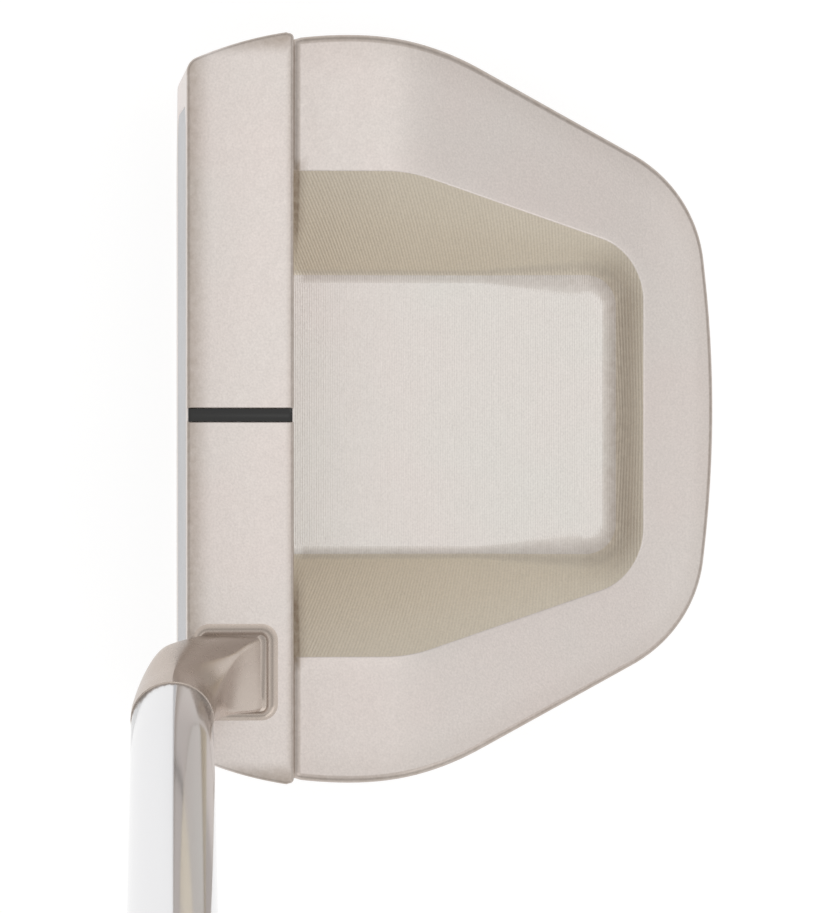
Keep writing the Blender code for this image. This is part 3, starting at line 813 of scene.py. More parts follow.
@dataclass
class Head:
    """The milled head: a bar with the face, and a lower ring behind it round an open trough.

    A section's points are numbered from the trough's floor outwards. The foot rows are the ones in
    front of the ring's first row, where it climbs the bar.
    """

    lean: float = math.tan(LOFT)
    middle: float = HEAD_MIDDLE
    bar_top: float = 25.0
    bar_front: float = -25.0
    bar_back: float = -11.3
    edge: float = 0.5
    half_width: float = 48.9
    front_corner: tuple[float, float] = (43.9, -26.41)
    back_corner: tuple[float, float] = (29.6, 43.1)
    apex: float = 46.4
    ring_height: float = 16.7
    fall_start: float = 4.0
    fall_end: tuple[float, float] = (38.0, 6.9)
    back_slope: float = 0.16
    outer_round: float = 1.0
    rim_round: float = 0.35
    foot_round: float = 1.2
    foot_stop: float = 9.2
    floor: float = 4.8
    floor_half: float = 18.55
    floor_back: float = 32.3
    trough_middle: float = -0.2
    slope: float = math.tan(math.radians(42))
    back_lean: float = 1.331
    fold_side: float = 3.0
    fold_back: float = 11.0
    sole_flat: float = SOLE_FLAT
    wing: float = math.tan(WING_ANGLE)
    wing_end: float = 46.5
    sole_back: tuple[float, float] = (24.0, 2.6)
    side_rows: int = 44
    corner_rows: int = 16
    back_rows: int = 14
    foot_rows: int = 9
    foot_lower_rows: int = 6
    floor_last: int = 5
    slope_last: int = 12
    trough_last: int = 17
    under_points: int = 9
    profile: np.ndarray = field(init=False)
    under: np.ndarray = field(init=False)
    rise: np.ndarray = field(init=False)

    def __post_init__(self) -> None:
        """Work out the height curves of the ring's top and of the sole."""
        back = self.apex + 1
        end = self.fall_end[1] - self.back_slope * (back - self.fall_end[0])
        top = rounded([(-40, self.ring_height, 0), (self.fall_start, self.ring_height, 22),
                       (*self.fall_end, 40), (back, end, 0), (back, -60, 0), (-40, -60, 0)], 0.5)
        self.profile = np.array([(p.x, p.y) for p in top[:-2]])
        low = rounded([(0, 0, 0), *self.wing_corners(), (0, 30, 0)], 1.0)
        self.under = np.array([(p.x, p.y) for p in low[:-2]])
        rear = rounded([(-40, 0, 0), (self.sole_back[0], 0, 60), (back, self.sole_back[1], 0),
                        (back, 60, 0), (-40, 60, 0)], 0.5)
        self.rise = np.array([(p.x, p.y) for p in rear[:-2]])

    def wing_corners(self) -> list[Corner]:
        """Corners of the head seen from its face: flat sole, rising wing and rounded lower corner.

        Returns:
            The corners on one side, from the middle outwards.
        """
        far = self.half_width + 0.7
        return [(self.sole_flat, 0, 8), (self.wing_end, (self.wing_end - self.sole_flat) * self.wing, 5),
                (far, 12, 14), (far, 30, 0)]

    def ring_top(self, y: float) -> float:
        """Height of the ring's top at a distance back from the sole's middle."""
        return float(np.interp(y, self.profile[:, 0], self.profile[:, 1]))

    def sole(self, x: float, y: float) -> float:
        """Height of the sole at a place.

        Args:
            x: X of the place.
            y: Y of the place.

        Returns:
            The height.
        """
        side = np.interp(abs(x - self.middle), self.under[:, 0], self.under[:, 1])
        back = np.interp(y, self.rise[:, 0], self.rise[:, 1])
        return float(max(side, back))

    def outline_half(self) -> list[Corner]:
        """Corners of the head's outline on one side of its middle."""
        return [(*self.front_corner, 2.0), (self.half_width, -14.5, 54.0), (self.half_width, 5.6, 37.0),
                (*self.back_corner, 18.0), (0.0, self.apex, 160.0)]

    def trough_point(self, row: Row, height: float) -> Vector:
        """Point of the trough's wall, on the +X side of its middle.

        Args:
            row: The stretch of the wall and the share along it: side, corner or back.
            height: Height on the wall.

        Returns:
            The point, with X measured from the trough's middle.
        """
        up = height - self.floor
        half = self.floor_half + up / self.slope
        back = self.floor_back + up * self.back_lean
        corner = 4.0 + up * 0.9
        stretch, share = row
        if stretch == "side":
            front = self.bar_back + self.foot_round
            return Vector((half, front + share * (back - corner - front), height))
        if stretch == "corner":
            angle = share * math.pi / 2
            return Vector((half - corner + corner * math.cos(angle),
                           back - corner + corner * math.sin(angle), height))
        return Vector(((half - corner) * (1 - share), back, height))

    def rim_point(self, row: Row) -> Vector:
        """Where the trough's wall meets the ring's top.

        Args:
            row: The row of the wall.

        Returns:
            The point.
        """
        height = self.ring_height
        for _ in range(30):
            height = 0.5 * height + 0.5 * self.ring_top(self.trough_point(row, height).y)
        return self.trough_point(row, height)

    def outline_points(self) -> np.ndarray:
        """Half outline behind the bar, from its side to the middle of its back.

        Returns:
            The (x, y) points, with X measured from the middle.
        """
        full = rounded(mirrored(self.outline_half(), 0.0), 1.0)
        start = self.bar_back + self.foot_round
        half = [(p.x, p.y) for p in full if p.x > 1e-6 and p.y > start]
        half.sort(key=lambda p: math.atan2(p[1] + 20, p[0]))
        side = np.array([(p.y, p.x) for p in full if p.x > 40])
        edge = float(np.interp(start, side[:, 0], side[:, 1]))
        return np.array([(edge, start), *half, (0.0, half[-1][1])])

    def rows(self) -> list[Row]:
        """Rows of the half ring, from the bar to the middle of the back.

        Returns:
            Each row as its stretch of the wall and the share along it.
        """
        side = [("side", k / self.side_rows) for k in range(self.side_rows)]
        corner = [("corner", k / self.corner_rows) for k in range(self.corner_rows)]
        back = [("back", k / self.back_rows) for k in range(self.back_rows + 1)]
        return side + corner + back

    @staticmethod
    def fillet(points: Sequence[Vector], radii: Sequence[float], counts: Sequence[int]) -> list[Vector]:
        """Round the inner corners of a line in space.

        Args:
            points: The line's points.
            radii: Radius at each point, 0 to keep it sharp.
            counts: Arc points made at each rounded point.

        Returns:
            The rounded line, with the same point count for the same counts.
        """
        line = [points[0]]
        for k in range(1, len(points) - 1):
            here = points[k]
            if radii[k] <= 0:
                line.append(here)
                continue
            before = (points[k - 1] - here).normalized()
            after = (points[k + 1] - here).normalized()
            turn = math.pi - before.angle(after)
            reach = radii[k] * math.tan(turn / 2)
            reach = min(reach, 0.9 * (points[k - 1] - here).length, 0.9 * (points[k + 1] - here).length)
            for j in range(counts[k]):
                t = j / (counts[k] - 1)
                a, c = here + before * reach, here + after * reach
                weight = math.cos(turn / 2)
                blend = (1 - t) ** 2 + 2 * t * (1 - t) * weight + t ** 2
                line.append((a * (1 - t) ** 2 + here * (2 * t * (1 - t) * weight) + c * t ** 2) / blend)
        line.append(points[-1])
        return line

    def section(self, row: Row, outer: np.ndarray) -> list[Vector]:
        """Line over the half ring at a row, from the trough's floor to the middle of the sole.

        Args:
            row: The row.
            outer: (x, y) of the outline at this row.

        Returns:
            Points measured from the head's middle lines, with the trough's part marked by X offset.
        """
        rim, fold = self.rim_point(row), self.trough_point(row, self.floor)
        edge = Vector((outer[0], outer[1], self.ring_top(outer[1])))
        inward = Vector((fold.x - rim.x, fold.y - rim.y, 0)).normalized()
        inner = fold + inward * 5.0
        land = [rim.lerp(edge, share) for share in (0.12, 0.4, 0.7, 0.94)]
        for point in land:
            point.z = self.ring_top(point.y)
        bottom = Vector((edge.x, edge.y, self.sole(edge.x + self.middle, edge.y)))
        line = [inner, fold, fold.lerp(rim, 0.5), rim, *land, edge, bottom]
        steep = min(1.0, max(0.0, (rim.y - 16) / 20))
        fold_round = self.fold_side + (self.fold_back - self.fold_side) * steep
        radii = [0, fold_round, 0, self.rim_round, 0, 0, 0, 0, self.outer_round, 0]
        counts = [0, 10, 0, 5, 0, 0, 0, 0, 7, 0]
        top = self.fillet(line, radii, counts)
        under = []
        for share in (0.008, 0.025, 0.06, 0.12, 0.2, 0.32, 0.5, 0.75, 1.0):
            point = bottom.lerp(Vector((inner.x, inner.y, 0)), share)
            point.z = self.sole(point.x + self.middle, point.y)
            under.append(point)
        return top + under

    def foot_sections(self, first: Sequence[Vector]) -> list[list[Vector]]:
        """Lines in front of the first row, climbing the bar's foot and ending inside the bar.

        Args:
            first: The ring's first section.

        Returns:
            The sections, from inside the bar outwards.
        """
        lines = []
        for angle in (88, 80, 68, 54, 40, 26, 13):
            turn = math.radians(angle)
            lines.append((-self.foot_round * math.sin(turn), self.foot_round * (1 - math.cos(turn)), 0.0))
        lines = [(-4.0, self.foot_round, 1.5), (-1.6, self.foot_round, 0.9), *lines]
        made = []
        for back, climb, lift in lines:
            line = []
            for k, point in enumerate(first):
                moved = point + Vector((0, back, 0))
                under = k > len(first) - self.under_points - 2
                share = min(1.0, max(0.0, (point.z - self.foot_stop) / 0.5))
                if under:
                    moved.z += lift
                else:
                    moved.z += climb * share * share * (3 - 2 * share)
                notch = 0.38 * min(1.0, -back / self.foot_round) + 0.3 * lift
                if point.x > self.half_width - 3:
                    moved.x -= notch
                line.append(moved)
            made.append(line)
        return made

    def ring(self) -> bpy.types.Object:
        """The ring and the trough's floor as one closed skin that runs a little into the bar.

        Returns:
            The ring.
        """
        rows = self.rows()
        rims = np.array([self.rim_point(row)[:2] for row in rows])
        outline = self.outline_points()

        def shares(points: np.ndarray) -> np.ndarray:
            """Share of a line's length at each of its points."""
            steps = np.hypot(*np.diff(points, axis=0).T)
            return np.concatenate(([0], np.cumsum(steps))) / steps.sum()

        along, around = shares(rims), shares(outline)
        lines = []
        for row, share in zip(rows, along):
            outer = np.array([np.interp(share, around, outline[:, i]) for i in (0, 1)])
            lines.append(self.section(row, outer))
        front = self.foot_sections(lines[0])
        lines = front + lines
        width = len(lines[0])
        straight = len(front) + self.side_rows + self.corner_rows
        vertices, faces, marks = [], [], []
        for side in (1, -1):
            for line in lines:
                for k, point in enumerate(line):
                    middle = self.trough_middle if k <= self.trough_last else self.middle
                    vertices.append((middle + side * point.x, point.y, point.z))
        count = len(lines)

        def at(side: int, row: int, k: int) -> int:
            """Index of a vertex: side 0 is the heel, 1 the toe."""
            return (side * count + row) * width + k

        for side in (0, 1):
            for row in range(count - 1):
                for k in range(width - 1):
                    quad = (at(side, row, k), at(side, row + 1, k), at(side, row + 1, k + 1),
                            at(side, row, k + 1))
                    faces.append(quad if side else quad[::-1])
                    marks.append(0 if k > self.slope_last else 1 if k > self.floor_last else 2)
        heel = [at(0, row, 0) for row in range(count)]
        toe = [at(1, row, 0) for row in range(count)]
        faces.append(heel + toe[::-1][1:])
        marks.append(2)
        last = width - 1
        for row in range(straight - 1):
            faces.append((at(0, row, last), at(0, row + 1, last), at(1, row + 1, last), at(1, row, last)))
            marks.append(0)
        closing = [at(0, row, last) for row in range(straight - 1, count)]
        closing += [at(1, row, last) for row in reversed(range(straight - 1, count - 1))]
        faces.append(closing)
        faces.append([at(0, 0, k) for k in range(width)] + [at(1, 0, k) for k in reversed(range(width))])
        marks += [0, 0]
        mesh = bpy.data.meshes.new("head_ring")
        mesh.from_pydata((np.array(vertices) * MM).tolist(), [], faces)
        for finish in (BLASTED, MILLED_SLOPE, MILLED_FLOOR):
            mesh.materials.append(finish.material())
        mesh.polygons.foreach_set("material_index", marks)
        # Painted shade per vertex: darkening at the bar's foot, in the trough's folds and on the ring's outer
        # edge.
        painted_dark = [self.painted_shade_of(row, k, lines[row][k]) for row in range(count) for k in range(width)] * 2
        layer = mesh.attributes.new("patina", "FLOAT_COLOR", "CORNER")
        values = [painted_dark[loop.vertex_index] for loop in mesh.loops]
        layer.data.foreach_set("color", [c for v in values for c in (v, v, v, 1.0)])
        tidy(mesh)
        return new_object("head_ring", mesh)

    def painted_shade_of(self, row: int, k: int, point: Vector) -> float:
        """Painted shade of the ring's skin: darker at the bar's foot, in the trough's folds and on the ring's
        rounded outer edge.

        Args:
            row: Row number, counting the rows of the bar's foot first.
            k: Place in the row, from the trough's floor outwards.
            point: The point, in mm.

        Returns:
            The painted shade, from 0 to 1.
        """
        # Painted shade where the fillet climbs the bar's foot.
        if row <= self.foot_rows and k < self.trough_last:
            if point.z < self.foot_stop:
                return 0.0
            return 0.85 if row < self.foot_rows else 0.3
        if row < self.foot_rows:
            return 0.8 if row < self.foot_lower_rows else 0.42
        rear = min(1.0, max(0.0, (point.y - 27.0) / 8.0))
        # Painted shade along the trough's folds, stronger towards the back.
        if k < self.slope_last:
            across = math.sin(math.pi * min(k, 10) / 10)
            return (0.30 + 0.14 * rear) * across + 0.30 * rear * min(1.0, k / 8)
        # Painted shade along the ring's rounded outer edge.
        outer = {20: 0.10, 21: 0.38, 22: 0.46, 23: 0.52, 24: 0.55, 25: 0.5, 26: 0.4, 27: 0.3}
        return outer.get(k, 0.0)

    def bar_outline(self, height: float, inset: float) -> list[Point]:
        """Outline of the bar at a height.

        Args:
            height: The height, which sets how far the leaning face has come forward.
            inset: How far the outline is drawn in.

        Returns:
            The outline's points, with small arcs at its rear corners.
        """
        front = self.bar_front - (self.bar_top - height) * self.lean
        (corner_x, corner_y), side_y, arc = self.front_corner, -14.5, 0.6
        x = corner_x + (self.half_width - corner_x) * (front - corner_y) / (side_y - corner_y)
        corners = [(x, front, 2.0), (self.half_width, side_y, 48.0), *self.outline_half()[2:]]
        points = rounded(mirrored(corners, 0.0), 1.0)
        side = sorted((p for p in points if p.x > 40 and p.y < 0), key=lambda p: p.y)
        reach = float(np.interp(self.bar_back, [p.y for p in side], [p.x for p in side])) - 0.25
        side = [p for p in side if p.y < self.bar_back - arc - 0.1]
        middle = Vector((reach - arc, self.bar_back - arc))
        for k in range(9):
            angle = k * math.pi / 16
            side.append(middle + arc * Vector((math.cos(angle), math.sin(angle))))
        outline = side + [Vector((-p.x, p.y)) for p in reversed(side)]
        ring = []
        for k, point in enumerate(outline):
            along = (outline[(k + 1) % len(outline)] - outline[k - 1]).normalized()
            ring.append((self.middle + point.x - along.y * inset, point.y + along.x * inset, height))
        return ring

    def bar(self) -> bpy.types.Object:
        """The straight bar with its leaning face and softened top edges.

        Returns:
            The bar.
        """
        rings = [self.bar_outline(height, 0.0) for height in (-2.0, self.bar_top - self.edge)]
        for k in range(1, 7):
            turn = k * math.pi / 12
            height = self.bar_top - self.edge * (1 - math.sin(turn))
            rings.append(self.bar_outline(height, self.edge * (1 - math.cos(turn))))
        bar = skin("milled_head", rings)
        for finish in (BLASTED, MILLED_SLOPE, MILLED_FLOOR):
            bar.data.materials.append(finish.material())
        unshaded(bar.data)
        under = rounded(mirrored(self.wing_corners(), self.middle), 2.0)
        former = skin("former", [[(p.x, y, p.y) for p in under] for y in (-45.0, 0.0)])
        unshaded(former.data)
        combine(bar, [former], "INTERSECT")
        return bar

    def build(self) -> bpy.types.Object:
        """Join the bar and the ring, and cut the seats for the other parts.

        Returns:
            The head.
        """
        head = self.bar()
        combine(head, [self.ring()], "UNION")
        cutters = [FaceInsert().seat(), SightLine().groove(), SolePlate().seat()]
        cutters += [SoleWeight(side).seat() for side in Side]
        for side in Side:
            corners = [(self.middle + side.value * x, y, 3.0)
                       for x, y in ((31.8, 11.0), (43.4, 11.0), (37.4, 25.0), (31.8, 25.0))]
            cutters.append(prism(f"{side.name}_pocket", rounded(corners, 10), [(-2, -0.3), (8.0, 0.0)]))
        for cutter in cutters:
            unshaded(cutter.data)
        combine(head, cutters, "DIFFERENCE")
        tidy(head.data)
        smooth(head, 30)
        return dress(head, Body.CLUB, ["head_body"])

    def floor_ribs(self) -> bpy.types.Object:
        """The cutter's straight ribs on the trough's floor.

        Returns:
            The ribs.
        """
        length = self.floor_back - self.bar_back
        pitch = 0.31
        values = {"Half width": (self.floor_half - 1.0) * MM, "Front": 0.0, "Back": (length - 1.3) * MM,
                  "Front corner": 0.0, "Back corner": 4.0 * MM, "Pitch": pitch * MM, "Depth": 0.022 * MM,
                  "Thickness": 0.06 * MM, "Rows": round(length / pitch * 6),
                  "Material": MILLED_FLOOR.material()}
        ribs = run_group("trough_floor_ribs", ribbed_slab_tree(), values)
        place = Vector((self.trough_middle, self.bar_back, self.floor + 0.026)) * MM
        ribs.data.transform(Matrix.Translation(place))
        smooth(ribs, 60)
        return dress(ribs, Body.CLUB, [])


# ---------------------------------------------------------------- face, line and sole


@dataclass
class FaceInsert:
    """The milled plate let into the face."""

    half: tuple[float, float] = (39.0, 9.0)
    middle: Point = (HEAD_MIDDLE, -25.6446, 12.7)
    thick: float = 3.0
    corner: float = 3.0
    gap: float = 0.25
    rib_pitch: float = 0.75
    rib_depth: float = 0.09

    def place(self) -> Matrix:
        """Frame on the face, with local Z pointing out of it."""
        return frame_at(self.middle, (1, 0, 0), (0, -math.cos(LOFT), math.sin(LOFT)))

    def seat(self) -> bpy.types.Object:
        """Cutter for the insert and its pad, with a softened mouth."""
        outline = box_outline(self.half[0] + self.gap, self.half[1] + self.gap, self.corner + self.gap)
        return prism("insert_seat", outline, [(-4.1, 0), (-0.18, 0), (0.05, -0.2), (3, -0.2)], self.place())

    def build(self) -> bpy.types.Object:
        """Make the insert, its front cut into fine horizontal ribs.

        Returns:
            The insert.
        """
        values = {"Half width": self.half[0] * MM, "Front": -self.half[1] * MM, "Back": self.half[1] * MM,
                  "Front corner": self.corner * MM, "Back corner": self.corner * MM,
                  "Pitch": self.rib_pitch * MM, "Depth": self.rib_depth * MM,
                  "Thickness": self.thick * MM, "Rows": round(2 * self.half[1] / self.rib_pitch * 10),
                  "Material": INSERT_ALLOY.material()}
        insert = run_group("face_insert_plate", ribbed_slab_tree(), values)
        insert.data.transform(self.place())
        smooth(insert, 50)
        return dress(insert, Body.CLUB, ["face_insert"])


@dataclass
class InsertPad:
    """The thin pad behind the insert, carried over from the frame."""

    node: str = "insert_pad"

    def dress(self) -> bpy.types.Object:
        """Put the finish in the node's own material slot.

        Returns:
            The frame's node.
        """
        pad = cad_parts[self.node]
        pad.material_slots[0].material = PAD_POLYMER.material()
        LOG.info("%s: carried over on %s", pad.name, Body.CLUB.value)
        return pad


@dataclass
class SightLine:
    """The enamel-filled line across the bar's top."""

    width: float = 1.8
    depth: float = 0.8
    front: float = -25.0
    back: float = -11.3
    top: float = 25.0
    sunk: float = 0.1
    dish: float = 0.16

    def groove(self) -> bpy.types.Object:
        """Cutter for the line, with a softened mouth.

        Returns:
            The cutter.
        """
        middle = (0.0, (self.front + self.back) / 2)
        outline = box_outline(self.width / 2, (self.back - self.front) / 2 + 1, 0.4, middle)
        levels = [(self.top - self.depth, 0), (self.top - 0.1, 0), (self.top + 0.02, -0.1),
                  (self.top + 2, -0.1)]
        return prism("line_groove", outline, levels)

    def build(self) -> bpy.types.Object:
        """Make the enamel, dished along its middle where it has shrunk.

        Returns:
            The enamel.
        """
        rings = []
        half = self.width / 2 - 0.03
        low = self.top - self.depth + 0.05
        ends = ((0.16, -0.22), (0.24, -0.1), (0.45, -0.02), (0.7, 0.0))
        stations = [(self.front + inset, drop) for inset, drop in ends]
        stations += [(self.back - inset, drop) for inset, drop in reversed(ends)]
        for y, drop in stations:
            ring = [(half, y, low), (-half, y, low)]
            for k in range(25):
                x = -half + 2 * half * k / 24
                across = abs(x) / half
                height = self.top - self.sunk - self.dish * (1 - across ** 2)
                height -= 0.15 * max(0, across - 0.93) / 0.07
                ring.append((x, y, height + drop))
            rings.append(ring)
        fill = skin("sight_line_enamel", rings)
        smooth(fill, 40)
        return dress(fill, Body.CLUB, ["sight_line_fill"], [ENAMEL])


@dataclass
class SolePlate:
    """The cover plate under the head and its four screws."""

    middle: tuple[float, float] = (HEAD_MIDDLE, 1.25)
    half: tuple[float, float] = (29.0, 21.75)
    thick: float = 2.0
    corner: float = 5.0
    gap: float = 0.25
    screw_x: float = 24.6
    screw_y: tuple[float, float] = (-16.2, 18.6)
    screw_radius: float = 1.5
    head_radius: float = 2.9

    def seat(self) -> bpy.types.Object:
        """Cutter for the plate in the sole.

        Returns:
            The cutter.
        """
        half_x, half_y = (half + self.gap for half in self.half)
        outline = box_outline(half_x, half_y, self.corner + self.gap, self.middle)
        return prism("plate_seat", outline, [(-2, -0.15), (-0.02, -0.15), (0.15, 0), (2.3, 0)])

    def screw_places(self) -> list[Vector]:
        """Screw axes on the sole, in mm."""
        return [Vector((self.middle[0] + side * self.screw_x, y, 0))
                for y in self.screw_y for side in (-1, 1)]

    def build(self) -> bpy.types.Object:
        """Make the plate with softened edges and countersinks.

        Returns:
            The plate.
        """
        outline = box_outline(*self.half, self.corner, self.middle)
        plate = prism("sole_cover_plate", outline, [(0, 0.25), (0.07, 0.1), (0.22, 0), (1.8, 0), (2.0, 0.2)])
        sinks = []
        wide = self.head_radius + 0.2
        for number, place in enumerate(self.screw_places()):
            profile = [(0, 3), (1.8, 3), (1.8, 1.6), (wide, 0.3), (wide + 0.12, -0.02),
                       (wide + 0.12, -1), (0, -1)]
            sinks.append(turned(f"sink_{number}", profile, Matrix.Translation(place * MM), 48))
        combine(plate, sinks, "DIFFERENCE")
        smooth(plate, 30)
        return dress(plate, Body.CLUB, ["sole_plate"], [SOLE_ALLOY])

    def screws(self) -> bpy.types.Object:
        """Stand one countersunk screw in each hole with Geometry Nodes.

        Returns:
            The four screws as one piece.
        """
        sink = self.head_radius - self.screw_radius
        profile = [(0, 6), (self.screw_radius - 0.3, 6), (self.screw_radius, 5.6),
                   (self.screw_radius, sink + 0.3), (self.head_radius, 0.34), (self.head_radius, 0.2),
                   (self.head_radius - 0.12, 0.1), (0, 0.1)]
        master = turned("screw_master", profile, Matrix.Identity(4), 48)
        socket = prism("socket", box_hexagon(1.0), [(-1, 0), (0.12, -0.06), (0.2, 0), (1.3, 0)])
        combine(master, [socket], "DIFFERENCE")
        g, given = node_group("screw_set", {
            "Screw": ("NodeSocketObject", 0), "Material": ("NodeSocketMaterial", 0)})
        source = g.add("GeometryNodeObjectInfo", {"Object": given.outputs["Screw"]})
        placed = g.add("GeometryNodeInstanceOnPoints", {
            "Points": given.outputs["Geometry"], "Instance": source.outputs["Geometry"]})
        tree = close_group(g, placed.outputs[0], given.outputs["Material"])
        points = bpy.data.meshes.new("screw_points")
        points.from_pydata([tuple(p * MM) for p in self.screw_places()], [], [])
        values = {"Screw": master, "Material": SCREW_STEEL.material()}
        screws = run_group("sole_screws", tree, values, points)
        bpy.data.objects.remove(master, do_unlink=True)
        smooth(screws, 30)
        names = [f"sole_screw_{number}" for number in range(1, 5)]
        return dress(screws, Body.CLUB, names)


@dataclass
class SoleWeight:
    """A screw-in sole weight with its sealing ring."""

    side: Side
    x: float = 38.0
    y: float = 1.0
    wing: float = WING_ANGLE
    sole_flat: float = SOLE_FLAT
    middle: float = HEAD_MIDDLE
    head_radius: float = 5.4
    shank_radius: float = 3.9
    top: float = 0.3
    under: float = 2.6
    end: float = 10.0
    hex_radius: float = 2.6
    pitch: float = 1.0

    @property
    def key(self) -> str:
        """The side's name as the frame's nodes spell it."""
        return self.side.name.lower()

    def place(self) -> Matrix:
        """Frame on the wing's surface, with local Z going into the head.

        Returns:
            The matrix, in metres.
        """
        rise = (self.x - self.sole_flat) * math.tan(self.wing)
        sign = self.side.value
        return frame_at((self.middle + sign * self.x, self.y, rise), (0, 1, 0),
                        (-sign * math.sin(self.wing), 0, math.cos(self.wing)))

    def seat(self) -> bpy.types.Object:
        """Cutter for the bore and its counterbore, with a softened mouth.

        Returns:
            The cutter.
        """
        bore, wide = self.shank_radius + 0.3, self.head_radius + 0.3
        profile = [(0, 10.3), (bore, 10.3), (bore, 4.7), (bore + 0.3, 4.4), (wide, 4.4), (wide, 0.2),
                   (wide + 0.2, 0), (wide + 0.2, -3), (0, -3)]
        return turned(f"{self.key}_seat", profile, self.place())

    def build(self) -> bpy.types.Object:
        """Make the weight: a flanged head with a hexagon socket and a threaded shank.

        Returns:
            The weight.
        """
        core = self.shank_radius - 0.42
        profile = [(0, self.end), (core - 0.5, self.end), (core, self.end - 0.5), (core, self.under + 0.7),
                   (core - 0.25, self.under + 0.5), (core - 0.25, self.under), (self.head_radius, self.under),
                   (self.head_radius, self.top + 0.35), (self.head_radius - 0.1, self.top + 0.1),
                   (self.head_radius - 0.35, self.top), (4.35, self.top), (4.25, self.top + 0.12),
                   (3.75, self.top + 0.12), (3.65, self.top), (0, self.top)]
        weight = turned(f"{self.key}_weight_screw", profile, Matrix.Identity(4), 72)
        levels = [(-1, -0.2), (self.top, -0.2), (self.top + 0.2, 0), (4, 0)]
        socket = prism("socket", box_hexagon(self.hex_radius), levels)
        combine(weight, [socket], "DIFFERENCE")
        values = {"Radius": (core - 0.05) * MM, "Pitch": self.pitch * MM, "Ridge": 0.44 * MM,
                  "Length": (self.end - self.under - 2.2) * MM, "Start": (self.under + 1.3) * MM,
                  "Material": WEIGHT_STEEL.material()}
        thread = run_group(f"{self.key}_thread", thread_tree(), values)
        join(weight, [thread])
        weight.data.transform(self.place())
        smooth(weight, 30)
        body = Body(f"{self.key}_weight_screw")
        return dress(weight, body, [f"{self.key}_weight"], [WEIGHT_STEEL])

    def seal(self) -> bpy.types.Object:
        """Make the sealing ring under the weight's head.

        Returns:
            The ring.
        """
        arms = [2 * math.pi * k / 20 for k in range(20)]
        ring = [(4.85 + 0.5 * math.cos(a), 3.5 + 0.5 * math.sin(a)) for a in arms]
        seal = turned(f"{self.key}_weight_seal", ring, self.place(), 72)
        smooth(seal, 60)
        body = Body(f"{self.key}_weight_seal")
        return dress(seal, body, [f"{self.key}_weight_o_ring"], [SEAL_RUBBER])


# ---------------------------------------------------------------- neck, shaft and grip


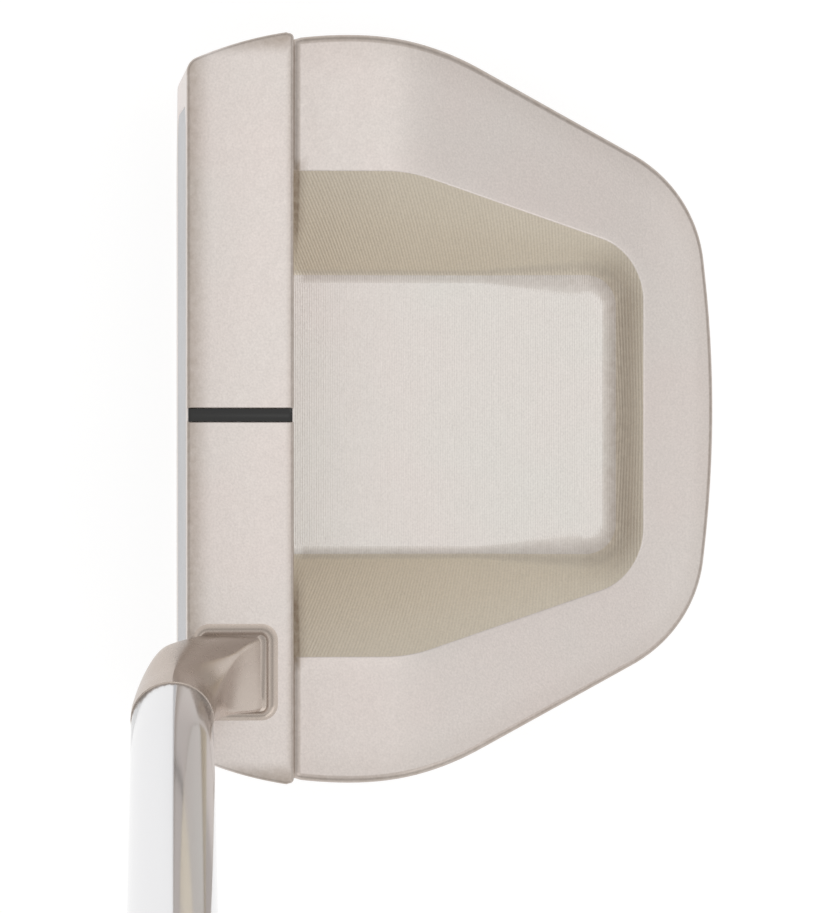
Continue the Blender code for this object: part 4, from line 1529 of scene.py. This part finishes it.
@dataclass
class FlowNeck:
    """The neck: a square column on the bar that leans forward into the round hosel."""

    base: Point = (33.0, -18.8, 25.02)
    half: tuple[float, float] = (4.95, 4.2)
    flare: float = 1.25
    taper: float = 0.30
    radius: float = 5.2
    joint: Point = HOSEL_JOINT
    edge: float = 0.55
    steps: int = 44
    arc: int = 9

    def ring(self, middle: Vector, side_dir: Vector, depth_dir: Vector, half: tuple[float, float],
             corner: float, taper: float = 0.0) -> list[Vector]:
        """Rounded rectangle in space.

        Args:
            middle: Its middle.
            side_dir: Direction of its width.
            depth_dir: Direction of its depth.
            half: Half width and half depth.
            corner: Corner radius, up to the half sizes, where it is round.
            taper: How much narrower it gets towards the depth direction.

        Returns:
            The ring's points, the same count for every corner radius.
        """
        points = []
        corner = min(corner, half[0] - 0.01, half[1] - 0.01)
        for quarter, (sx, sy) in enumerate(((1, -1), (1, 1), (-1, 1), (-1, -1))):
            cx, cy = sx * (half[0] - corner), sy * (half[1] - corner)
            for k in range(self.arc):
                angle = math.radians(-90 + 90 * quarter + 90 * k / (self.arc - 1))
                x, y = cx + corner * math.cos(angle), cy + corner * math.sin(angle)
                x *= 1 - taper * max(0.0, y / half[1])
                points.append(middle + side_dir * x + depth_dir * y)
            nxt = ((1, 1), (-1, 1), (-1, -1), (1, -1))[quarter]
            ax, ay = nxt[0] * (half[0] - corner), nxt[1] * (half[1] - corner)
            end = math.radians(90 * quarter)
            bx, by = ax + corner * math.cos(end), ay + corner * math.sin(end)
            here = (cx + corner * math.cos(end), cy + corner * math.sin(end))
            for share in (0.25, 0.5, 0.75):
                x, y = here[0] + (bx - here[0]) * share, here[1] + (by - here[1]) * share
                x *= 1 - taper * max(0.0, y / half[1])
                points.append(middle + side_dir * x + depth_dir * y)
        return points

    def build(self) -> bpy.types.Object:
        """Make the neck, with its foot flared on the bar and a softened rim at the shaft.

        Returns:
            The neck.
        """
        axis = Vector((math.sin(LEAN), 0, math.cos(LEAN)))
        start, joint = Vector(self.base), Vector(self.joint)
        path = (start, start + Vector((0.6, -2.4, 4.6)), joint - axis * 10.5, joint)
        across, back = Vector((1, 0, 0)), Vector((0, 1, 0))
        rings = []
        for k in range(9):
            turn = math.radians(90 * k / 8)
            height = self.flare * (1 - math.cos(turn))
            grow = self.flare * (1 - math.sin(turn))
            middle = start + Vector((0.06, -0.2, 1)) * height
            rings.append(self.ring(middle, across, back, (self.half[0] + grow, self.half[1] + grow),
                                   self.edge + 0.3 + grow))
        for k in range(1, self.steps + 1):
            t = 0.09 + 0.91 * k / self.steps
            blend = t * t * (3 - 2 * t)
            normal = Vector((0, 0, 1)).lerp(axis, blend).normalized()
            half = tuple(h + (self.radius - h) * blend for h in self.half)
            late = max(0.0, (t - 0.42) / 0.5)
            late = min(1.0, late) ** 2 * (3 - 2 * min(1.0, late))
            corner = self.edge + 0.3 * (1 - min(1, t * 4)) + (self.radius - self.edge) * late
            taper = self.taper * math.sin(math.pi * min(1.0, t) ** 1.5)
            middle = self.along(path, t)
            rings.append(self.ring(middle, back.cross(normal), back, half, corner, taper))
        side_dir = back.cross(axis)
        for up, inset in ((0.04, 0.04), (0.1, 0.16), (0.12, 0.5)):
            half = (self.radius - inset, self.radius - inset)
            rings.append(self.ring(joint + axis * up, side_dir, back, half, self.radius))
        for up, radius in ((0.12, 4.2), (24.5, 4.2), (25.0, 3.7)):
            rings.append(self.ring(joint + axis * up, side_dir, back, (radius, radius), radius))
        neck = skin("flow_neck_body", rings)
        smooth(neck, 38)
        return dress(neck, Body.CLUB, ["flow_neck"], [NECK_STEEL])

    @staticmethod
    def along(path: Sequence[Vector], t: float) -> Vector:
        """Point of a cubic Bezier curve."""
        s = 1 - t
        return path[0] * s ** 3 + path[1] * (3 * s * s * t) + path[2] * (3 * s * t * t) + path[3] * t ** 3


@dataclass
class ClubLine:
    """The shaft's axis, shared by the shaft and the grip."""

    joint: Point = HOSEL_JOINT
    lean: float = LEAN

    @property
    def start(self) -> float:
        """Distance of the hosel joint along the axis, from the ground."""
        return self.joint[2] / math.cos(self.lean)

    def place(self) -> Matrix:
        """Frame where the axis meets the ground, with local Z up the shaft and X towards the toe.

        Returns:
            The matrix, in metres.
        """
        axis = Vector((math.sin(self.lean), 0, math.cos(self.lean)))
        return frame_at(Vector(self.joint) - axis * self.start,
                        (-math.cos(self.lean), 0, math.sin(self.lean)), axis)


@dataclass
class Shaft:
    """The stepped steel shaft, a chromed tube over the hosel's post."""

    line: ClubLine = field(default_factory=ClubLine)
    tip: float = 5.1
    butt: float = 7.35
    wall: float = 0.45
    first_step: float = 330.0
    steps: int = 9
    spacing: float = 27.0
    end: float = 868.0

    def build(self) -> bpy.types.Object:
        """Turn the tube: a straight tip, equal steps with soft shoulders, and a straight butt.

        Returns:
            The shaft.
        """
        low = self.line.start + 0.2
        jump = (self.butt - self.tip) / self.steps
        outer = [(self.tip - 0.12, low), (self.tip - 0.03, low + 0.03), (self.tip, low + 0.12)]
        height = low + 12
        while height < self.first_step - 6:
            outer.append((self.tip, height))
            height += 24
        for k in range(self.steps):
            place, radius = self.first_step + k * self.spacing, self.tip + k * jump
            for share in (0.0, 0.15, 0.5, 0.85, 1.0):
                eased = share * share * (3 - 2 * share)
                outer.append((radius + jump * eased, place - 0.8 + 1.6 * share))
        outer += [(self.butt, self.end - 0.2), (self.butt - 0.15, self.end)]
        inner = [(self.butt - self.wall, self.end),
                 (self.butt - self.wall, self.first_step + self.steps * self.spacing),
                 (self.tip - self.wall, self.first_step - 5), (self.tip - self.wall, low)]
        shaft = turned("shaft_tube", outer + inner, self.line.place(), 96)
        smooth(shaft, 35)
        return dress(shaft, Body.CLUB, ["shaft"], [CHROME])

    def plug(self) -> bpy.types.Object:
        """Turn the tip plug with its two sealing beads.

        Returns:
            The plug.
        """
        low = self.line.start + 27
        profile = [(0, low), (3.4, low), (3.8, low + 0.5), (4.2, low + 1.5), (3.9, low + 2.6), (3.9, low + 5),
                   (4.2, low + 6.2), (3.9, low + 7.4), (3.5, low + 9), (0, low + 9)]
        plug = turned("tip_plug", profile, self.line.place(), 48)
        smooth(plug, 50)
        return dress(plug, Body.CLUB, ["shaft_tip_plug"], [NYLON])


@dataclass
class Grip:
    """The rubber grip: flat in front, with a fuller back towards the butt, over a tape sleeve."""

    line: ClubLine = field(default_factory=ClubLine)
    club_length: float = 876.0
    length: float = 267.0
    cap: float = 5.0
    around: int = 56
    spacing: float = 2.6
    stations: tuple[tuple[float, float, float, float], ...] = (
        (0.0, 9.6, 9.4, 9.6), (3.0, 10.4, 10.0, 10.6), (40.0, 11.2, 10.6, 11.6), (90.0, 12.4, 11.0, 13.0),
        (140.0, 13.2, 11.2, 14.4), (185.0, 13.8, 11.4, 15.6), (215.0, 14.2, 11.6, 17.2),
        (240.0, 14.6, 11.8, 19.6), (255.0, 14.6, 11.8, 20.2), (262.0, 14.4, 11.8, 19.8))

    def ring(self, up: float, shrink: float = 0.0, depth: float = 0.0) -> list[Point]:
        """One section of the grip.

        Args:
            up: Distance up the grip from its mouth.
            shrink: How far the section is drawn in.
            depth: Extra distance along the axis.

        Returns:
            The section's points, starting at the middle of the flat.
        """
        table = np.array(self.stations)
        half, front, back = (float(np.interp(up, table[:, 0], table[:, i])) - shrink for i in (1, 2, 3))
        points = []
        for k in range(self.around):
            angle = 2 * math.pi * k / self.around
            cos_a, sin_a = math.cos(angle), math.sin(angle)
            power, reach = (5.0, front) if cos_a > 0 else (2.2, back)
            x = math.copysign(abs(cos_a) ** (2 / power), cos_a) * reach
            y = math.copysign(abs(sin_a) ** (2 / 2.6), sin_a) * half
            points.append((x, y, self.club_length - self.length + up + depth))
        return points

    def build(self) -> bpy.types.Object:
        """Make the grip with its moulded studs, which Geometry Nodes stand on alternate facets.

        Returns:
            The grip.
        """
        bore = 7.35 + 0.9
        rings = [self.hole(bore, 0.0)]
        rings += [self.ring(0.0, 1.0), self.ring(0.25, 0.45), self.ring(0.9, 0.24)]
        count = round((self.length - self.cap - 4) / self.spacing)
        rings += [self.ring(1.8 + k * self.spacing, 0.24) for k in range(count)]
        top = self.length - self.cap
        rings += [self.ring(top - 0.6, 0.24), self.ring(top - 0.15, 0.35), self.ring(top, 0.7)]
        rings.append(self.hole(bore, top))
        place = self.line.place()
        grip = skin("grip_sleeve", rings, closed=True, matrix=place)
        marks = grip.data.attributes.new("stud", "BOOLEAN", "FACE")
        inverse = place.inverted()
        base = self.club_length - self.length
        values = []
        for polygon in grip.data.polygons:
            local = inverse @ polygon.center / MM
            up = local.z - base
            row = round((up - 1.8) / self.spacing - 0.5)
            turn = math.atan2(local.y, local.x)
            column = round(turn / (2 * math.pi) * self.around - 0.5)
            outside = math.hypot(local.x, local.y) > bore + 0.6
            plain = abs(turn) < 0.22 and not 60 < up < 200
            values.append(outside and not plain and 12 < up < top - 14 and (row + column) % 2 == 0)
        marks.data.foreach_set("value", values)
        stud = self.stud()
        given = {"Stud": stud, "Axis": tuple(place.col[2][:3]), "Material": RUBBER.material()}
        placed = run_group("grip_sleeve", stud_tree(), given, grip.data)
        bpy.data.objects.remove(stud, do_unlink=True)
        bpy.data.objects.remove(grip, do_unlink=True)
        placed.name = "grip_sleeve"
        smooth(placed, 40)
        return dress(placed, Body.CLUB, ["grip"])

    def hole(self, radius: float, up: float) -> list[Point]:
        """Circle of the bore at a distance up the grip.

        Args:
            radius: Radius of the bore.
            up: Distance up the grip from its mouth.

        Returns:
            The circle's points.
        """
        height = self.club_length - self.length + up
        arms = [2 * math.pi * k / self.around for k in range(self.around)]
        return [(radius * math.cos(a), radius * math.sin(a), height) for a in arms]

    def stud(self) -> bpy.types.Object:
        """One low diamond stud, standing on local Z.

        Returns:
            The stud.
        """
        shape = bmesh.new()
        rings = []
        for half_x, half_y, height in ((1.1, 0.62, -0.1), (0.7, 0.36, 0.22)):
            corners = ((half_x, 0), (0, half_y), (-half_x, 0), (0, -half_y))
            rings.append([shape.verts.new((x * MM, y * MM, height * MM)) for x, y in corners])
        low, high = rings
        for k in range(4):
            shape.faces.new((low[k], low[(k + 1) % 4], high[(k + 1) % 4], high[k]))
        shape.faces.new(high)
        shape.faces.new(low[::-1])
        mesh = bpy.data.meshes.new("stud")
        shape.to_mesh(mesh)
        shape.free()
        return new_object("stud", mesh)

    def tape(self) -> bpy.types.Object:
        """Turn the tape sleeve under the grip, with the ridge of its wound edge.

        Returns:
            The sleeve.
        """
        inner, outer = 7.65, 7.95
        low, high = self.club_length - self.length + 4, 864.0
        heights = np.linspace(low, high, 40)
        profile = [(outer - (0.03 if k % 2 else 0.0), float(h)) for k, h in enumerate(heights)]
        tape = turned("grip_tape_sleeve", [*profile, (inner, high), (inner, low)], self.line.place(), 64)
        smooth(tape, 40)
        return dress(tape, Body.CLUB, ["grip_tape"], [TAPE])

    def end_cap(self) -> bpy.types.Object:
        """Make the domed butt cap with its vent.

        Returns:
            The cap.
        """
        base = self.length - self.cap + 0.3
        steps = ((0.0, 0.0), (0.0, 0.25), (0.15, 0.25), (0.4, 0.0), (2.1, 0.2), (3.2, 0.8),
                 (4.0, 1.8), (4.5, 3.4), (4.7, 6.0))
        rings = [[(0.98 * x, 0.98 * y, z) for x, y, z in self.ring(262.0, 1.0, base - 262.0)]]
        rings += [self.ring(262.0, shrink, base - 262.0 + up) for up, shrink in steps]
        vent = [self.hole(1.6, self.length - 0.05), self.hole(1.6, base)]
        cap = skin("grip_end_cap", rings + vent, closed=True, matrix=self.line.place())
        smooth(cap, 35)
        return dress(cap, Body.CLUB, ["grip_cap"], [RUBBER])


# ---------------------------------------------------------------- studio


@dataclass
class Studio:
    """Pale floor, soft lights and the camera over the head."""

    camera_place: tuple[float, float, float] = (3.204, -26.856, 545.0)
    camera_aim: tuple[float, float, float] = (5.326, 4.921, 25.0)
    lens: float = 159.7
    floor_gap: float = 0.4

    def floor(self) -> None:
        """A wide pale floor just under the sole."""
        mesh = bpy.data.meshes.new("studio_floor")
        reach = 30.0
        corners = [(-reach, -reach, 0), (reach, -reach, 0), (reach, reach, 0), (-reach, reach, 0)]
        mesh.from_pydata(corners, [], [(0, 1, 2, 3)])
        mesh.transform(Matrix.Translation((0, 0, -self.floor_gap * MM)))
        floor = new_object("studio_floor", mesh)
        material = bpy.data.materials.new("studio_floor")
        material.use_nodes = True
        shader = material.node_tree.nodes["Principled BSDF"]
        shader.inputs["Base Color"].default_value = (0.3, 0.3, 0.3, 1)
        shader.inputs["Roughness"].default_value = 0.9
        shader.inputs["Specular IOR Level"].default_value = 0.1
        shader.inputs["Emission Color"].default_value = (1, 1, 1, 1)
        shader.inputs["Emission Strength"].default_value = 0.80
        g = Graph(material.node_tree)
        under = g.add("ShaderNodeNewGeometry").outputs["Backfacing"]
        sides = g.add("ShaderNodeMixShader", {0: under, 1: shader.outputs[0]})
        g.tree.links.new(g.add("ShaderNodeBsdfTransparent").outputs[0], sides.inputs[2])
        g.tree.links.new(sides.outputs[0], g.tree.nodes["Material Output"].inputs["Surface"])
        floor.data.materials.append(material)

    def world(self) -> None:
        """Soft sky, brightest overhead and dimmer towards the horizon."""
        world = bpy.data.worlds.new("studio")
        bpy.context.scene.world = world
        world.use_nodes = True
        g = Graph(world.node_tree)
        sky = g.add("ShaderNodeTexCoord").outputs["Generated"]
        up = g.add("ShaderNodeSeparateXYZ", {0: sky}).outputs["Z"]
        ramp = g.add("ShaderNodeValToRGB", {0: up})
        levels = ((0.0, 0.84), (0.26, 0.78), (0.44, 0.46), (0.57, 0.50), (0.72, 0.88), (1.0, 0.93))
        for _ in levels[2:]:
            ramp.color_ramp.elements.new(0.5)
        for element, (position, grey) in zip(ramp.color_ramp.elements, levels):
            element.position = position
            element.color = (grey, grey * 0.99, grey * 0.975, 1)
        background = world.node_tree.nodes["Background"]
        world.node_tree.links.new(ramp.outputs[0], background.inputs["Color"])
        background.inputs["Strength"].default_value = 0.97

    def light(self, name: str, place: Point, aim: Point, size: tuple[float, float], power: float) -> None:
        """Add one soft box.

        Args:
            name: The light's name.
            place: Its middle, in metres.
            aim: The point it faces, in metres.
            size: Width and height in metres.
            power: Watts.
        """
        data = bpy.data.lights.new(name, "AREA")
        data.shape, data.size, data.size_y, data.energy = "RECTANGLE", *size, power
        lamp = bpy.data.objects.new(name, data)
        bpy.context.scene.collection.objects.link(lamp)
        lamp.location = place
        lamp.rotation_euler = (Vector(aim) - Vector(place)).to_track_quat("-Z", "Y").to_euler()

    def camera(self) -> None:
        """Camera above the head, its top towards the toe."""
        data = bpy.data.cameras.new("camera")
        data.lens, data.sensor_width, data.clip_start = self.lens, 36.0, 0.01
        camera = bpy.data.objects.new("camera", data)
        bpy.context.scene.collection.objects.link(camera)
        place, aim = Vector(self.camera_place) * MM, Vector(self.camera_aim) * MM
        back = (place - aim).normalized()
        right = Vector((-1, 0, 0)).cross(back).normalized()
        camera.matrix_world = Matrix((right, back.cross(right), back)).transposed().to_4x4()
        camera.location = place
        bpy.context.scene.camera = camera

    def build(self) -> None:
        """Set up the floor, sky, lights and camera."""
        self.floor()
        self.world()
        self.light("key", (-0.04, 0.055, 0.62), (-0.02, 0.01, 0), (0.16, 0.16), 0.045)
        self.light("fill", (0.9, 0.9, 1.1), (0, 0, 0), (1.2, 0.8), 2.0)
        self.camera()
        bpy.context.scene.view_settings.view_transform = "Standard"


def main() -> None:
    """Build every sub-assembly round the frame."""
    logging.basicConfig(level=logging.INFO, format="%(name)s: %(message)s")
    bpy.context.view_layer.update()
    head, sole, shaft, grip = Head(), SolePlate(), Shaft(), Grip()
    head.build()
    head.floor_ribs()
    FaceInsert().build()
    SightLine().build()
    sole.build()
    sole.screws()
    for side in Side:
        weight = SoleWeight(side)
        weight.build()
        weight.seal()
    FlowNeck().build()
    shaft.build()
    shaft.plug()
    grip.build()
    grip.tape()
    grip.end_cap()
    InsertPad().dress()
    Studio().build()


if __name__ == "__main__":
    main()
